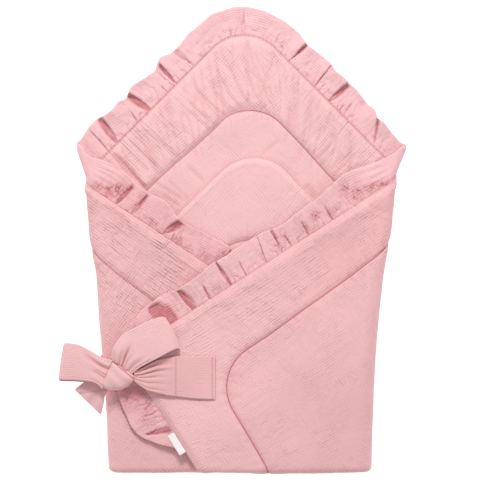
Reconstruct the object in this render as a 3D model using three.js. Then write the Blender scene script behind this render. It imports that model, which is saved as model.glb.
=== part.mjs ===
// Padded muslin wrap for a newborn: a ruffled quilt square, folded like an envelope and tied with a bow.
// Millimetres, +Z up. The hood points along +Y, the foot fold lies towards -Y, and the wrap rests on z = 0.
import * as THREE from 'three';

// The quilt as cut and filled
const squareSide = 750;
const cornerRadius = 60;
const loft = 7;
const edgeThickness = 2.4;
const layerGap = 1.5;
const layerPitch = loft + layerGap;

// Thickness from the sewn edge inwards, with the quilting line as a pinched channel
const quiltingInset = 69;
const crossSection = [
  { inset: 0, thickness: edgeThickness },
  { inset: 10, thickness: 6.2 },
  { inset: 59, thickness: loft },
  { inset: quiltingInset, thickness: 2.8 },
  { inset: 79, thickness: loft },
  { inset: 150, thickness: loft },
  { inset: 230, thickness: loft },
  { inset: 310, thickness: loft },
];
const cornerSegments = 6;
const edgeSegments = 11;
const cornerEasing = 0.29; // how much each ring's corner radius grows with its inset

// The foot fold, measured from the line where the wrap's lower edge lies
const hoodCornerY = 611.6;
const footFoldY = 4.3;
const footFoldRadius = loft + layerGap / 2;
const footFoldTaken = Math.PI * (footFoldRadius - loft / 2);
const footLean = 0.032; // sideways drift of the folded foot for each millimetre
const squareCentreY = hoodCornerY - squareSide / Math.SQRT2;

// The side folds: a point of the fold line, its lean, and how far the round edge lies inside that line
const firstRadius = 16; // where the search for a round edge's radius starts
const radiusRounds = 4;
const bendReach = 64; // no bend starts further inside its fold line than this
const foldPuff = 4;
const foldPuffWidth = 60;
const leftFold = {
  hand: -1,
  atX: 222.1,
  atY: 389.5,
  lean: THREE.MathUtils.degToRad(5.8),
  drawnIn: [
    { y: 0, by: 0 },
    { y: 60, by: 3.8 },
    { y: 175, by: 7.3 },
    { y: 265, by: 10 },
    { y: 330, by: 6.2 },
    { y: 390, by: 7 },
    { y: 432, by: -1 },
  ],
};
const rightFold = {
  hand: 1,
  atX: 214.8,
  atY: 396.8,
  lean: THREE.MathUtils.degToRad(6.1),
  drawnIn: [
    { y: 0, by: 0 },
    { y: 50, by: 4.5 },
    { y: 110, by: 8.7 },
    { y: 180, by: 11 },
    { y: 255, by: 12 },
    { y: 330, by: 8.3 },
    { y: 390, by: 9 },
    { y: 432, by: -2 },
  ],
};
const mostPoints = 1e6; // more than the net has, so that a pair of points makes one number
const bendSteps = 7;
const footBendSteps = 4;
const coverWidth = 120; // how far a layer takes to come down past the edge of what lies under it
const drapeStep = 55;
const drapeSteps = 5;
const footSnap = 0.8;
const sideSnap = 1.5;

// The ruffle: a doubled strip gathered into the seam, with a row for each of the folds that stand in it.
// Places are measured along the seam from the tip of the hood.
const ruffleWidth = 38;
const ruffleThickness = 2;
const seamGap = 1.1;
const joinGap = 1; // at the tip of the hood, where the two strips meet
const ruffleRows = 3;
const ruffleStep = 6.8;
const ruffleCurve = 1.5; // how late it leaves the seam's height, a power of its width
const ruffleFloor = 1.4; // height of its middle where it lies on the floor
const ruffleOnFlap = 6.4; // the same on a flap, measured down from the flap's upper face
const ruffleFoldLength = 56;
const ruffleEnd = [
  { at: 813, width: 1 },
  { at: 836, width: 0.66 },
  { at: 853, width: 0.3 },
  { at: 864, width: 0.1 },
];
const rightGathers = [
  { at: 0, rise: 3.2, lean: 0 },
  { at: 32, rise: 4.6, lean: 7 },
  { at: 69, rise: 5.0, lean: -8 },
  { at: 120, rise: 4.4, lean: 7 },
  { at: 148, rise: 5.2, lean: -8 },
  { at: 185, rise: 5.0, lean: 8 },
  { at: 222, rise: 4.2, lean: 6 },
  { at: 256, rise: 2.6, lean: 0 },
  { at: 288, rise: 1.2, lean: 0 },
  { at: 322, rise: 2.6, lean: 5 },
  { at: 362, rise: 3.8, lean: -7 },
  { at: 401, rise: 4.2, lean: 8 },
  { at: 440, rise: 4.4, lean: -8 },
  { at: 468, rise: 4.8, lean: 8 },
  { at: 509, rise: 4.2, lean: 8 },
  { at: 540, rise: 3.8, lean: -6 },
  { at: 565, rise: 4.6, lean: 8 },
  { at: 600, rise: 3.8, lean: 6 },
  { at: 634, rise: 2.8, lean: -5 },
  { at: 668, rise: 1.4, lean: 0 },
  { at: 704, rise: 0.6, lean: 0 },
  { at: 740, rise: 1.0, lean: 0 },
  { at: 776, rise: 2.8, lean: 6 },
  { at: 806, rise: 3.0, lean: -5 },
  { at: 838, rise: 1.2, lean: 0 },
  { at: 868, rise: 0.6, lean: 0 },
];
const leftGathers = [
  { at: 0, rise: 3.6, lean: 0 },
  { at: 30, rise: 5.0, lean: -8 },
  { at: 78, rise: 4.8, lean: 8 },
  { at: 108, rise: 5.2, lean: 8 },
  { at: 161, rise: 5.0, lean: -8 },
  { at: 192, rise: 4.4, lean: 7 },
  { at: 223, rise: 4.4, lean: 7 },
  { at: 262, rise: 2.4, lean: 0 },
  { at: 298, rise: 1.2, lean: 0 },
  { at: 332, rise: 2.4, lean: 5 },
  { at: 364, rise: 3.4, lean: -6 },
  { at: 396, rise: 3.8, lean: 7 },
  { at: 430, rise: 4.6, lean: -8 },
  { at: 464, rise: 3.6, lean: 7 },
  { at: 498, rise: 1.6, lean: 0 },
  { at: 540, rise: 0.5, lean: 0 },
  { at: 900, rise: 0.5, lean: 0 },
];
const hiddenRuffle = { from: 500, to: 560, width: 30, height: 4.4 }; // pressed flat under the right flap

// The bow, placed from the middle of its knot
const tieThickness = 2.2;
const pieceGap = 0.5;
const knot = { x: -168.8, y: 127.6, z: 50.6, height: 10.4, fullness: 2.8 };
// The knot from above: how far its outline lies from its middle, by direction in degrees
const knotOutline = [
  { turn: -180, reach: 18.2 },
  { turn: -146, reach: 24.4 },
  { turn: -112, reach: 20.2 },
  { turn: -63, reach: 18.1 },
  { turn: -30, reach: 19.6 },
  { turn: -4, reach: 22.3 },
  { turn: 36, reach: 13.6 },
  { turn: 66, reach: 13.6 },
  { turn: 106, reach: 20.3 },
  { turn: 137, reach: 16.7 },
  { turn: 180, reach: 18.2 },
];
// Each row lies across the tie: turned by turn degrees, with its middle bend further on than its ends
const upperLoop = [
  { x: -163.0, y: 142.3, halfWidth: 16.2, turn: -36, bend: 0, middle: 51, rise: 3.0, pleat: 1.6 },
  { x: -158.6, y: 150.1, halfWidth: 20.6, turn: -31, bend: 0, middle: 51, rise: 5.4, pleat: 1.7 },
  { x: -151.0, y: 158.0, halfWidth: 24.2, turn: -31, bend: 0, middle: 51, rise: 6.4, pleat: 1.2 },
  { x: -140.4, y: 167.0, halfWidth: 26.4, turn: -37, bend: 0, middle: 50.5, rise: 6.4, pleat: 0.6 },
  { x: -124.9, y: 175.5, halfWidth: 25.4, turn: -45, bend: 0.8, middle: 49.5, rise: 5.8, pleat: 0.3 },
  { x: -109.4, y: 183.2, halfWidth: 24.1, turn: -56, bend: 1.6, middle: 47.5, rise: 4.4, pleat: 0 },
  { x: -98.4, y: 186.6, halfWidth: 22.8, turn: -65, bend: 2.4, middle: 46, rise: 0, pleat: 0 },
];
const leftLoop = [
  { x: -184.9, y: 130.7, halfWidth: 19.6, turn: 70, bend: 2.2, middle: 51.4, rise: 3.0, pleat: 1.2 },
  { x: -193.0, y: 135.0, halfWidth: 17.0, turn: 75, bend: 1.2, middle: 51, rise: 4.4, pleat: 1.2 },
  { x: -203.9, y: 140.1, halfWidth: 18.6, turn: 81, bend: 0.6, middle: 49.6, rise: 5.6, pleat: 0.9 },
  { x: -216.7, y: 144.5, halfWidth: 21.7, turn: 84, bend: 0.4, middle: 46.8, rise: 6.0, pleat: 0.5 },
  { x: -229.5, y: 147.0, halfWidth: 23.6, turn: 83.5, bend: 0.4, middle: 43.4, rise: 5.0, pleat: 0.2 },
  { x: -239.5, y: 147.4, halfWidth: 24.0, turn: 82.5, bend: 0.6, middle: 40.4, rise: 3.0, pleat: 0 },
  { x: -244.6, y: 147.6, halfWidth: 24.0, turn: 82, bend: 0.8, middle: 38.6, rise: 0, pleat: 0 },
];
const tail = [
  { x: -194.4, y: 117.4, halfWidth: 14.0, turn: -31, bend: 0, middle: 40.0, pleat: 0.5 },
  { x: -201.2, y: 110.4, halfWidth: 15.9, turn: -32, bend: 0, middle: 40.4, pleat: 1.2 },
  { x: -205.2, y: 102.3, halfWidth: 19.5, turn: -37, bend: 0, middle: 39.0, pleat: 0.9 },
  { x: -209.9, y: 93.2, halfWidth: 23.4, turn: -44, bend: 0, middle: 35.0, pleat: 0.3 },
];
const rightTie = [
  { x: -39.5, y: 125.2, lift: 0, halfWidth: 28.2, pleat: 0 },
  { x: -64.0, y: 125.6, lift: 0, halfWidth: 27.6, pleat: 0 },
  { x: -88.0, y: 126.8, lift: 0, halfWidth: 26.4, pleat: 0 },
  { x: -102.6, y: 127.2, lift: 2.2, halfWidth: 24.4, pleat: 0.8 },
  { x: -112.0, y: 127.2, lift: 3.8, halfWidth: 22.4, pleat: 1.3 },
  { x: -120.2, y: 126.9, lift: 5.2, halfWidth: 20.0, pleat: 1.6 },
  { x: -129.6, y: 125.9, lift: 6.8, halfWidth: 16.2, pleat: 1.8 },
  { x: -138.6, y: 125.9, lift: 8.0, halfWidth: 10.6, pleat: 1.6 },
  { x: -146.6, y: 127.4, lift: 8.4, halfWidth: 6.2, pleat: 1.2 },
];
const leftTie = { y: 131, from: 0.36, to: 0.86, lift: 6.6, sewnHalf: 22, knotHalf: 11, steps: 7 };
const acrossSteps = 6;

// The label: a blank folded tab sewn in beside the foot
const labelTab = { from: 834, to: 864, width: 9, thickness: 0.9, height: 1.7 };

function smoothStep(value) {
  const t = THREE.MathUtils.clamp(value, 0, 1);
  return t * t * (3 - 2 * t);
}

function readTable(rows, key, value, at) {
  const last = rows.length - 1;
  if (at <= rows[0][key]) return rows[0][value];
  for (let i = 0; i < last; i++) {
    const low = rows[i];
    const high = rows[i + 1];
    if (at <= high[key]) {
      return THREE.MathUtils.mapLinear(at, low[key], high[key], low[value], high[value]);
    }
  }
  return rows[last][value];
}

// The square stands on a corner: u runs from the hood towards the right corner, v towards the left one
function fromSquare(u, v) {
  return { x: (u - v) * Math.SQRT1_2, y: squareCentreY - (u + v) * Math.SQRT1_2 };
}

function toSquare(x, y) {
  const down = squareCentreY - y;
  return { u: (down + x) * Math.SQRT1_2, v: (down - x) * Math.SQRT1_2 };
}

// Distance from the quilt's rounded outline, positive inside it
function insetOf(x, y) {
  const { u, v } = toSquare(x, y);
  const straight = squareSide / 2 - cornerRadius;
  const pastU = Math.abs(u) - straight;
  const pastV = Math.abs(v) - straight;
  if (pastU > 0 && pastV > 0) return cornerRadius - Math.hypot(pastU, pastV);
  return cornerRadius - Math.max(pastU, pastV);
}

// A side fold's own coordinates: along its line towards the hood, and outwards across it
function toFold(fold, x, y) {
  const dx = x * fold.hand - fold.atX;
  const dy = y - fold.atY;
  const sin = Math.sin(fold.lean);
  const cos = Math.cos(fold.lean);
  return { along: dx * sin + dy * cos, out: dx * cos - dy * sin };
}

function fromFold(fold, along, out) {
  const sin = Math.sin(fold.lean);
  const cos = Math.cos(fold.lean);
  return { x: fold.hand * (fold.atX + along * sin + out * cos), y: fold.atY + along * cos - out * sin };
}

function mirrored(fold, x, y) {
  const { along, out } = toFold(fold, x, y);
  return fromFold(fold, along, -out);
}

// The foot's fold line is level between the side folds and turns down by twice their lean outside them
function footLineY(x) {
  const fold = x < 0 ? leftFold : rightFold;
  const kinkX = fold.atX - (fold.atY - footFoldY) * Math.tan(fold.lean);
  return footFoldY - Math.max(0, Math.abs(x) - kinkX) * Math.tan(2 * fold.lean);
}

function overFoot({ x, y, z }) {
  const line = footLineY(x);
  const past = line - y;
  if (past <= 0) return { x, y, z };
  const leaning = x + footLean * past;
  if (past >= footFoldTaken) return { x: leaning, y: line + past - footFoldTaken, z: 2 * footFoldRadius - z };
  const angle = Math.PI * past / footFoldTaken;
  const reach = footFoldRadius - z;
  return { x: leaning, y: line - reach * Math.sin(angle), z: footFoldRadius - reach * Math.cos(angle) };
}

// How much of a layer lies at a place, from 1 on it to 0 well past its edge
function cover(inset) {
  return smoothStep(1 + inset / coverWidth);
}

function footCover(x, y) {
  const line = footLineY(x);
  const past = y - line + footFoldTaken;
  return cover(insetOf(x - footLean * past, line - past));
}

function tuckCover(fold, x, y) {
  const back = mirrored(fold, x, y);
  return footCover(back.x, back.y);
}

function foldPuffAt(fold, x, y) {
  const { out } = toFold(fold, x, y);
  return foldPuff * (1 - smoothStep(-out / foldPuffWidth));
}

// Heights of the upper faces of the two flaps, each on what lies under it
function seatOnBase(x, y) {
  return layerPitch * (1 + footCover(x, y));
}

function leftTop(x, y) {
  return seatOnBase(x, y) + layerPitch * tuckCover(leftFold, x, y) + loft + foldPuffAt(leftFold, x, y);
}

function rightTop(x, y) {
  const back = mirrored(leftFold, x, y);
  const onLeft = cover(insetOf(back.x, back.y));
  const seat = THREE.MathUtils.lerp(seatOnBase(x, y), leftTop(x, y) + layerGap, onLeft);
  return seat + layerPitch * tuckCover(rightFold, x, y) + loft + foldPuffAt(rightFold, x, y);
}

leftFold.top = leftTop;
rightFold.top = rightTop;

// The round edge of a side fold at one place along it: its radius, and where the bend starts and ends
function roundEdge(fold, along) {
  const drawnIn = readTable(fold.drawnIn, 'y', 'by', fold.atY + along);
  let radius = firstRadius;
  for (let i = 0; i < radiusRounds; i++) {
    const { x, y } = fromFold(fold, along, -drawnIn - radius);
    radius = fold.top(x, y) / 2;
  }
  return { radius, start: -drawnIn - radius, taken: 2 * (drawnIn + radius) };
}

function overSide(fold, { x, y, z }) {
  const { along, out } = toFold(fold, x, y);
  if (out < -bendReach) return { x, y, z };
  const { radius, start, taken } = roundEdge(fold, along);
  const past = out - start;
  if (past <= 0) return { x, y, z };
  if (past >= taken) {
    const place = fromFold(fold, along, start - (past - taken));
    return { ...place, z: fold.top(place.x, place.y) - z };
  }
  const angle = Math.PI * past / taken;
  const reach = radius - z;
  const place = fromFold(fold, along, start + reach * Math.sin(angle));
  return { ...place, z: radius - reach * Math.cos(angle) };
}

// Takes a point of the opened wrap to its place in the folded one
function folded(x, y, z) {
  const lifted = overFoot({ x, y, z });
  return overSide(rightFold, overSide(leftFold, lifted));
}

// One ring of the opened quilt, a rounded square at some inset, from the top of the hood round to the right
function ring(inset) {
  const half = squareSide / 2 - inset;
  const radius = Math.min(cornerRadius + cornerEasing * inset, half);
  const middle = half - radius;
  const points = [];
  for (let corner = 0; corner < 4; corner++) {
    const turn = corner * Math.PI / 2;
    const place = (a, b) => {
      const u = a * Math.cos(turn) - b * Math.sin(turn);
      const v = a * Math.sin(turn) + b * Math.cos(turn);
      points.push(fromSquare(u, v));
    };
    for (let i = cornerSegments / 2; i < cornerSegments; i++) {
      const angle = -Math.PI + (i / cornerSegments) * Math.PI / 2;
      place(-middle + radius * Math.cos(angle), -middle + radius * Math.sin(angle));
    }
    for (let i = 0; i < edgeSegments; i++) {
      place(-middle + 2 * middle * i / edgeSegments, -half);
    }
    for (let i = 0; i < cornerSegments / 2; i++) {
      const angle = -Math.PI / 2 + (i / cornerSegments) * Math.PI / 2;
      place(middle + radius * Math.cos(angle), -middle + radius * Math.sin(angle));
    }
  }
  return points;
}

// The opened quilt as one net of flat cells, each point with half the thickness there
function openNet() {
  const points = [];
  const cells = [];
  const count = 4 * (cornerSegments + edgeSegments);
  crossSection.forEach(({ inset, thickness }, row) => {
    ring(inset).forEach((point) => points.push({ ...point, half: thickness / 2 }));
    if (row === 0) return;
    for (let i = 0; i < count; i++) {
      const next = (i + 1) % count;
      const outer = (row - 1) * count;
      const inner = row * count;
      cells.push([outer + i, inner + i, inner + next, outer + next]);
    }
  });
  const innermost = points.length - count;
  const centre = points.length;
  points.push({ x: 0, y: squareCentreY, half: loft / 2 });
  for (let i = 0; i < count; i++) cells.push([innermost + i, centre, innermost + (i + 1) % count]);
  return { points, cells };
}

// Cuts the cells where a value changes sign, so that a bend has edges to turn on
function cutAlong(net, snap, valueAt) {
  const values = net.points.map((point) => {
    const value = valueAt(point);
    return Math.abs(value) < snap ? 0 : value;
  });
  const cuts = new Map();
  const cutBetween = (a, b) => {
    const key = Math.min(a, b) * mostPoints + Math.max(a, b);
    if (!cuts.has(key)) {
      const share = values[a] / (values[a] - values[b]);
      const from = net.points[a];
      const to = net.points[b];
      cuts.set(key, net.points.length);
      net.points.push({
        x: THREE.MathUtils.lerp(from.x, to.x, share),
        y: THREE.MathUtils.lerp(from.y, to.y, share),
        half: THREE.MathUtils.lerp(from.half, to.half, share),
      });
    }
    return cuts.get(key);
  };
  net.cells = net.cells.flatMap((cell) => {
    if (cell.every((i) => values[i] >= 0) || cell.every((i) => values[i] <= 0)) return [cell];
    const above = [];
    const below = [];
    cell.forEach((from, i) => {
      const to = cell[(i + 1) % cell.length];
      if (values[from] >= 0) above.push(from);
      if (values[from] <= 0) below.push(from);
      if (values[from] * values[to] >= 0) return;
      const cut = cutBetween(from, to);
      above.push(cut);
      below.push(cut);
    });
    return [above, below];
  });
}

function cutForFolds(net) {
  for (let i = 0; i <= footBendSteps; i++) {
    const line = footFoldTaken * i / footBendSteps;
    cutAlong(net, footSnap, ({ x, y }) => footLineY(x) - y - line);
  }
  for (const fold of [leftFold, rightFold]) {
    const pastBend = (point) => {
      const lifted = overFoot({ ...point, z: loft / 2 });
      const { along, out } = toFold(fold, lifted.x, lifted.y);
      const edge = roundEdge(fold, along);
      return { past: out - edge.start, taken: edge.taken };
    };
    for (let i = 0; i <= bendSteps; i++) {
      cutAlong(net, sideSnap, (point) => {
        const { past, taken } = pastBend(point);
        return past - taken * i / bendSteps;
      });
    }
    for (let i = 1; i <= drapeSteps; i++) {
      cutAlong(net, sideSnap, (point) => {
        const { past, taken } = pastBend(point);
        return past - taken - drapeStep * i;
      });
    }
  }
}

// Splits a flat cell into triangles from the corner that leaves the fullest ones
function trianglesOf(cell, points) {
  let best = [];
  let bestArea = -Infinity;
  for (let start = 0; start < cell.length; start++) {
    const corner = (i) => cell[(start + i) % cell.length];
    const fan = [];
    let least = Infinity;
    for (let i = 1; i < cell.length - 1; i++) {
      const [a, b, c] = [corner(0), corner(i), corner(i + 1)];
      const [p, q, r] = [points[a], points[b], points[c]];
      least = Math.min(least, (q.x - p.x) * (r.y - p.y) - (r.x - p.x) * (q.y - p.y));
      fan.push([a, b, c]);
    }
    if (least > bestArea) [best, bestArea] = [fan, least];
  }
  return best;
}

function geometryFrom(positions, faces) {
  const geometry = new THREE.BufferGeometry();
  geometry.setAttribute('position', new THREE.Float32BufferAttribute(positions, 3));
  geometry.setIndex(faces);
  geometry.computeVertexNormals();
  return geometry;
}

// The whole padded square as one closed solid, folded
function makeQuilt() {
  const net = openNet();
  cutForFolds(net);
  const positions = [];
  for (const hand of [1, -1]) {
    for (const { x, y, half } of net.points) {
      const place = folded(x, y, loft / 2 + hand * half);
      positions.push(place.x, place.y, place.z);
    }
  }
  const lower = net.points.length;
  const faces = [];
  const borders = new Map();
  for (const [a, b, c] of net.cells.flatMap((cell) => trianglesOf(cell, net.points))) {
    faces.push(a, b, c, lower + a, lower + c, lower + b);
    for (const [from, to] of [[a, b], [b, c], [c, a]]) borders.set(from * mostPoints + to, [from, to]);
  }
  for (const [from, to] of borders.values()) {
    if (borders.has(to * mostPoints + from)) continue;
    faces.push(from, lower + from, to, to, lower + from, lower + to);
  }
  return geometryFrom(positions, faces);
}

// A sheet between an upper and a lower grid of points, closed at its rims
function sheetBetween(upper, under) {
  const rows = upper.length;
  const columns = upper[0].length;
  const positions = [upper, under].flat(2).flatMap(({ x, y, z }) => [x, y, z]);
  const lower = rows * columns;
  const faces = [];
  const wall = (a, b) => faces.push(a, lower + a, b, b, lower + a, lower + b);
  for (let i = 0; i < rows - 1; i++) {
    for (let j = 0; j < columns - 1; j++) {
      const a = i * columns + j;
      const b = a + columns;
      faces.push(a, b, b + 1, a, b + 1, a + 1);
      faces.push(lower + a, lower + b + 1, lower + b, lower + a, lower + a + 1, lower + b + 1);
    }
    wall(i * columns, (i + 1) * columns);
    wall((i + 2) * columns - 1, (i + 1) * columns - 1);
  }
  for (let j = 0; j < columns - 1; j++) {
    wall(j + 1, j);
    wall(lower - columns + j, lower - columns + j + 1);
  }
  return geometryFrom(positions, faces);
}

// A sheet of even thickness round a grid of points along its middle
function sheetAround(grid, thickness) {
  const at = (i, j) => {
    const row = grid[THREE.MathUtils.clamp(i, 0, grid.length - 1)];
    return row[THREE.MathUtils.clamp(j, 0, row.length - 1)];
  };
  const face = (hand) => grid.map((row, i) => row.map((point, j) => {
    const down = new THREE.Vector3().subVectors(at(i + 1, j), at(i - 1, j));
    const across = new THREE.Vector3().subVectors(at(i, j + 1), at(i, j - 1));
    return point.clone().addScaledVector(down.cross(across).normalize(), hand * thickness / 2);
  }));
  return sheetBetween(face(1), face(-1));
}

// The seam on one half of the quilt, from the tip of the hood down: place, outward direction, distance
function seamLine(hand) {
  const rim = ring(0);
  const outward = rim.map((_, i) => {
    const before = rim[(i + rim.length - 1) % rim.length];
    const after = rim[(i + 1) % rim.length];
    return new THREE.Vector2(before.y - after.y, after.x - before.x).normalize();
  });
  const stations = [];
  let distance = 0;
  for (let i = 0; distance < ruffleEnd.at(-1).at; i++) {
    const from = new THREE.Vector2(rim[i].x, rim[i].y);
    const to = new THREE.Vector2(rim[i + 1].x, rim[i + 1].y);
    const length = from.distanceTo(to);
    const steps = Math.ceil(length / ruffleStep);
    for (let k = 0; k < steps; k++) {
      const place = from.clone().lerp(to, k / steps);
      const side = outward[i].clone().lerp(outward[i + 1], k / steps).normalize();
      if (stations.length === 0) place.x += joinGap / 2;
      const at = distance + length * k / steps;
      if (at > ruffleEnd.at(-1).at) break;
      stations.push({ x: place.x * hand, y: place.y, outX: side.x * hand, outY: side.y, at });
    }
    distance += length;
  }
  return stations;
}

// How one place along a ruffle stands: how high, how far it leans over, and how wide it is
function ruffleAt(at, gathers, foldAt, hidden) {
  const next = gathers.findIndex((gather) => gather.at > at);
  const [from, to] = [gathers[next - 1], gathers[next]];
  const share = (at - from.at) / (to.at - from.at);
  const swelling = (1 - Math.cos(2 * Math.PI * share)) / 2;
  const swell = 2 * swelling * THREE.MathUtils.lerp(from.rise, to.rise, share);
  const onFlap = smoothStep((at - foldAt) / ruffleFoldLength + 0.5);
  const pressed = hidden ? smoothStep((at - hidden.from) / (hidden.to - hidden.from)) : 0;
  const lowest = THREE.MathUtils.lerp(ruffleFloor, ruffleOnFlap, onFlap);
  const open = lowest + swell * THREE.MathUtils.lerp(1, -1, onFlap);
  const width = THREE.MathUtils.lerp(ruffleWidth, hiddenRuffle.width, pressed);
  return {
    edgeHeight: THREE.MathUtils.lerp(open, hiddenRuffle.height, pressed),
    lean: (1 - pressed) * from.lean * swelling,
    width: width * readTable(ruffleEnd, 'at', 'width', at),
  };
}

// One half of the ruffle, laid out on the opened quilt and folded with it
function makeRuffle(hand, gathers, fold, hidden) {
  const foldAt = fold.atX * Math.SQRT2 - cornerRadius * (1 - Math.PI / 4);
  const seam = seamLine(hand).map((station) => {
    return { ...station, ...ruffleAt(station.at, gathers, foldAt, hidden) };
  });
  const face = (side) => seam.map(({ x, y, outX, outY, edgeHeight, lean, width }) => {
    const row = [];
    for (let k = 0; k <= ruffleRows; k++) {
      const share = k / ruffleRows;
      const reach = seamGap + width * share;
      const aside = hand * lean * share;
      const middle = THREE.MathUtils.lerp(loft / 2, edgeHeight, share ** ruffleCurve);
      const z = middle + side * ruffleThickness / 2;
      row.push(folded(x + outX * reach + outY * aside, y + outY * reach - outX * aside, z));
    }
    return hand > 0 ? row : row.reverse();
  });
  return sheetBetween(face(1), face(-1));
}

// One row of points across a tie, turned about the vertical, with small pleats
function acrossTie({ x, y, halfWidth, turn, bend, pleat }, z, heightAt) {
  const angle = THREE.MathUtils.degToRad(turn);
  const row = [];
  for (let k = 0; k <= acrossSteps; k++) {
    const share = 2 * k / acrossSteps - 1;
    const ahead = bend * (1 - share * share);
    const px = x + Math.cos(angle) * halfWidth * share - Math.sin(angle) * ahead;
    const py = y + Math.sin(angle) * halfWidth * share + Math.cos(angle) * ahead;
    const ripple = pleat * (k % 2 === 0 ? -1 : 1);
    row.push(new THREE.Vector3(px, py, (heightAt ? heightAt(px, py) : 0) + z + ripple));
  }
  return row;
}

// A loop lies as two layers that turn into each other at its far end
function makeLoop(stations) {
  const layer = (hand) => stations.map((station) => acrossTie(station, station.middle + hand * station.rise));
  return sheetAround([...layer(1), ...layer(-1).reverse().slice(1)], tieThickness);
}

function makeTail() {
  return sheetAround(tail.map((station) => acrossTie(station, station.middle)), tieThickness);
}

// Sewn flat on the right flap, then gathered up to the knot
function makeRightTie() {
  const middle = 2 * pieceGap + tieThickness / 2;
  const laid = rightTie.map((station) => ({ ...station, turn: -90, bend: 0 }));
  const rows = laid.map((station) => acrossTie(station, middle + station.lift, rightTop));
  return sheetAround(rows, tieThickness);
}

// Comes up round the left fold to the underside of the knot
function makeLeftTie() {
  const rows = [];
  for (let i = 0; i <= leftTie.steps; i++) {
    const share = i / leftTie.steps;
    const half = THREE.MathUtils.lerp(leftTie.sewnHalf, leftTie.knotHalf, smoothStep(share));
    const row = [];
    for (let k = 0; k <= acrossSteps; k++) {
      const along = (leftTie.y - leftFold.atY) + half * (2 * k / acrossSteps - 1);
      const edge = roundEdge(leftFold, along);
      const round = THREE.MathUtils.lerp(leftTie.from, leftTie.to, share);
      const open = fromFold(leftFold, along, edge.start + edge.taken * round);
      const lift = leftTie.lift * smoothStep(2 * share - 1);
      const place = folded(open.x, open.y, -pieceGap - tieThickness / 2 - lift);
      row.push(new THREE.Vector3(place.x, place.y, place.z));
    }
    rows.push(row);
  }
  return sheetAround(rows, tieThickness);
}

// A soft flattened knot with the outline of the tie's last turn
function makeKnot() {
  const geometry = new THREE.SphereGeometry(1, 24, 12).rotateX(Math.PI / 2);
  const position = geometry.getAttribute('position');
  for (let i = 0; i < position.count; i++) {
    const around = Math.hypot(position.getX(i), position.getY(i));
    const z = position.getZ(i);
    const angle = Math.atan2(position.getY(i), position.getX(i));
    const reach = readTable(knotOutline, 'turn', 'reach', THREE.MathUtils.radToDeg(angle));
    const full = (around ** knot.fullness + Math.abs(z) ** knot.fullness) ** (-1 / knot.fullness);
    const out = reach * around * full;
    position.setXYZ(i, Math.cos(angle) * out, Math.sin(angle) * out, knot.height * z * full);
  }
  geometry.translate(knot.x, knot.y, knot.z);
  return geometry;
}

function makeLabel() {
  const seam = seamLine(1).filter(({ at }) => at >= labelTab.from && at <= labelTab.to);
  const grid = [seam[0], seam.at(-1)].map(({ x, y, outX, outY }) => {
    return [seamGap, seamGap + labelTab.width].map((reach) => {
      const place = folded(x + outX * reach, y + outY * reach, labelTab.height);
      return new THREE.Vector3(place.x, place.y, place.z);
    });
  });
  return sheetAround(grid, labelTab.thickness);
}

const muslin = (colour) => new THREE.MeshStandardMaterial({ color: colour, roughness: 0.95, metalness: 0 });

const wrap = new THREE.Group();

function add(name, geometry, colour) {
  const mesh = new THREE.Mesh(geometry, muslin(colour));
  mesh.name = name;
  wrap.add(mesh);
}

add('quilted_wrap', makeQuilt(), 0xe6b4b5);
add('ruffle_left', makeRuffle(-1, leftGathers, leftFold, hiddenRuffle), 0xeabcbf);
add('ruffle_right', makeRuffle(1, rightGathers, rightFold, null), 0xeabcbf);
add('bow_knot', makeKnot(), 0xe7b4b3);
add('bow_loop_upper', makeLoop(upperLoop), 0xf0c4c4);
add('bow_loop_left', makeLoop(leftLoop), 0xeec5c6);
add('bow_tail', makeTail(), 0xe0a8aa);
add('tie_right', makeRightTie(), 0xe8b5b3);
add('tie_left', makeLeftTie(), 0xe8b5b3);
add('label', makeLabel(), 0xf4f0ee);

// The origin is under the middle of the whole, on the floor
const bounds = new THREE.Box3().setFromObject(wrap);
const middle = bounds.getCenter(new THREE.Vector3());
wrap.position.set(-middle.x, -middle.y, -bounds.min.z);

export default wrap;
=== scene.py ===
import math

import bmesh
import bpy
import numpy as np
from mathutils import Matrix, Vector


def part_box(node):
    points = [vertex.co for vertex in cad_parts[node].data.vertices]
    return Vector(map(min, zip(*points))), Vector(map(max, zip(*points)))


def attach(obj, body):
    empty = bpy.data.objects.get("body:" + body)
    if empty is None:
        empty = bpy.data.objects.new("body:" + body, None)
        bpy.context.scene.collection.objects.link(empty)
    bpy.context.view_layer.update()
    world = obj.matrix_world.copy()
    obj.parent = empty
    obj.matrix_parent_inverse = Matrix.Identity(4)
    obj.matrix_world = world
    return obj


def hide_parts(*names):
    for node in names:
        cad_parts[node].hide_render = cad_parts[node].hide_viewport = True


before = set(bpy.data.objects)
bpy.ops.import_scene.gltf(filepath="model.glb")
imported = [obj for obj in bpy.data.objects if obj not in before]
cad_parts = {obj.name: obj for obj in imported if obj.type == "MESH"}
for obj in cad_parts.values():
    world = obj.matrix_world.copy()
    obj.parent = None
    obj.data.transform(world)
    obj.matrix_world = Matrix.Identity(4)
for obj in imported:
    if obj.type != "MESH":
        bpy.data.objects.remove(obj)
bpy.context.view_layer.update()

# Sizes are in millimetres until a piece is finished. The hood points along +Y, and the wrap lies flat.
millimetre = 0.001


def smooth(value):
    t = np.clip(value, 0, 1)
    return t * t * (3 - 2 * t)


def blend(first, second, share):
    return first + (second - first) * share


def column(rows, place):
    return np.array([row[place] for row in rows], float)


def tableAt(rows, at):  # straight from row to row
    return np.interp(at, column(rows, 0), column(rows, 1))


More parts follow.
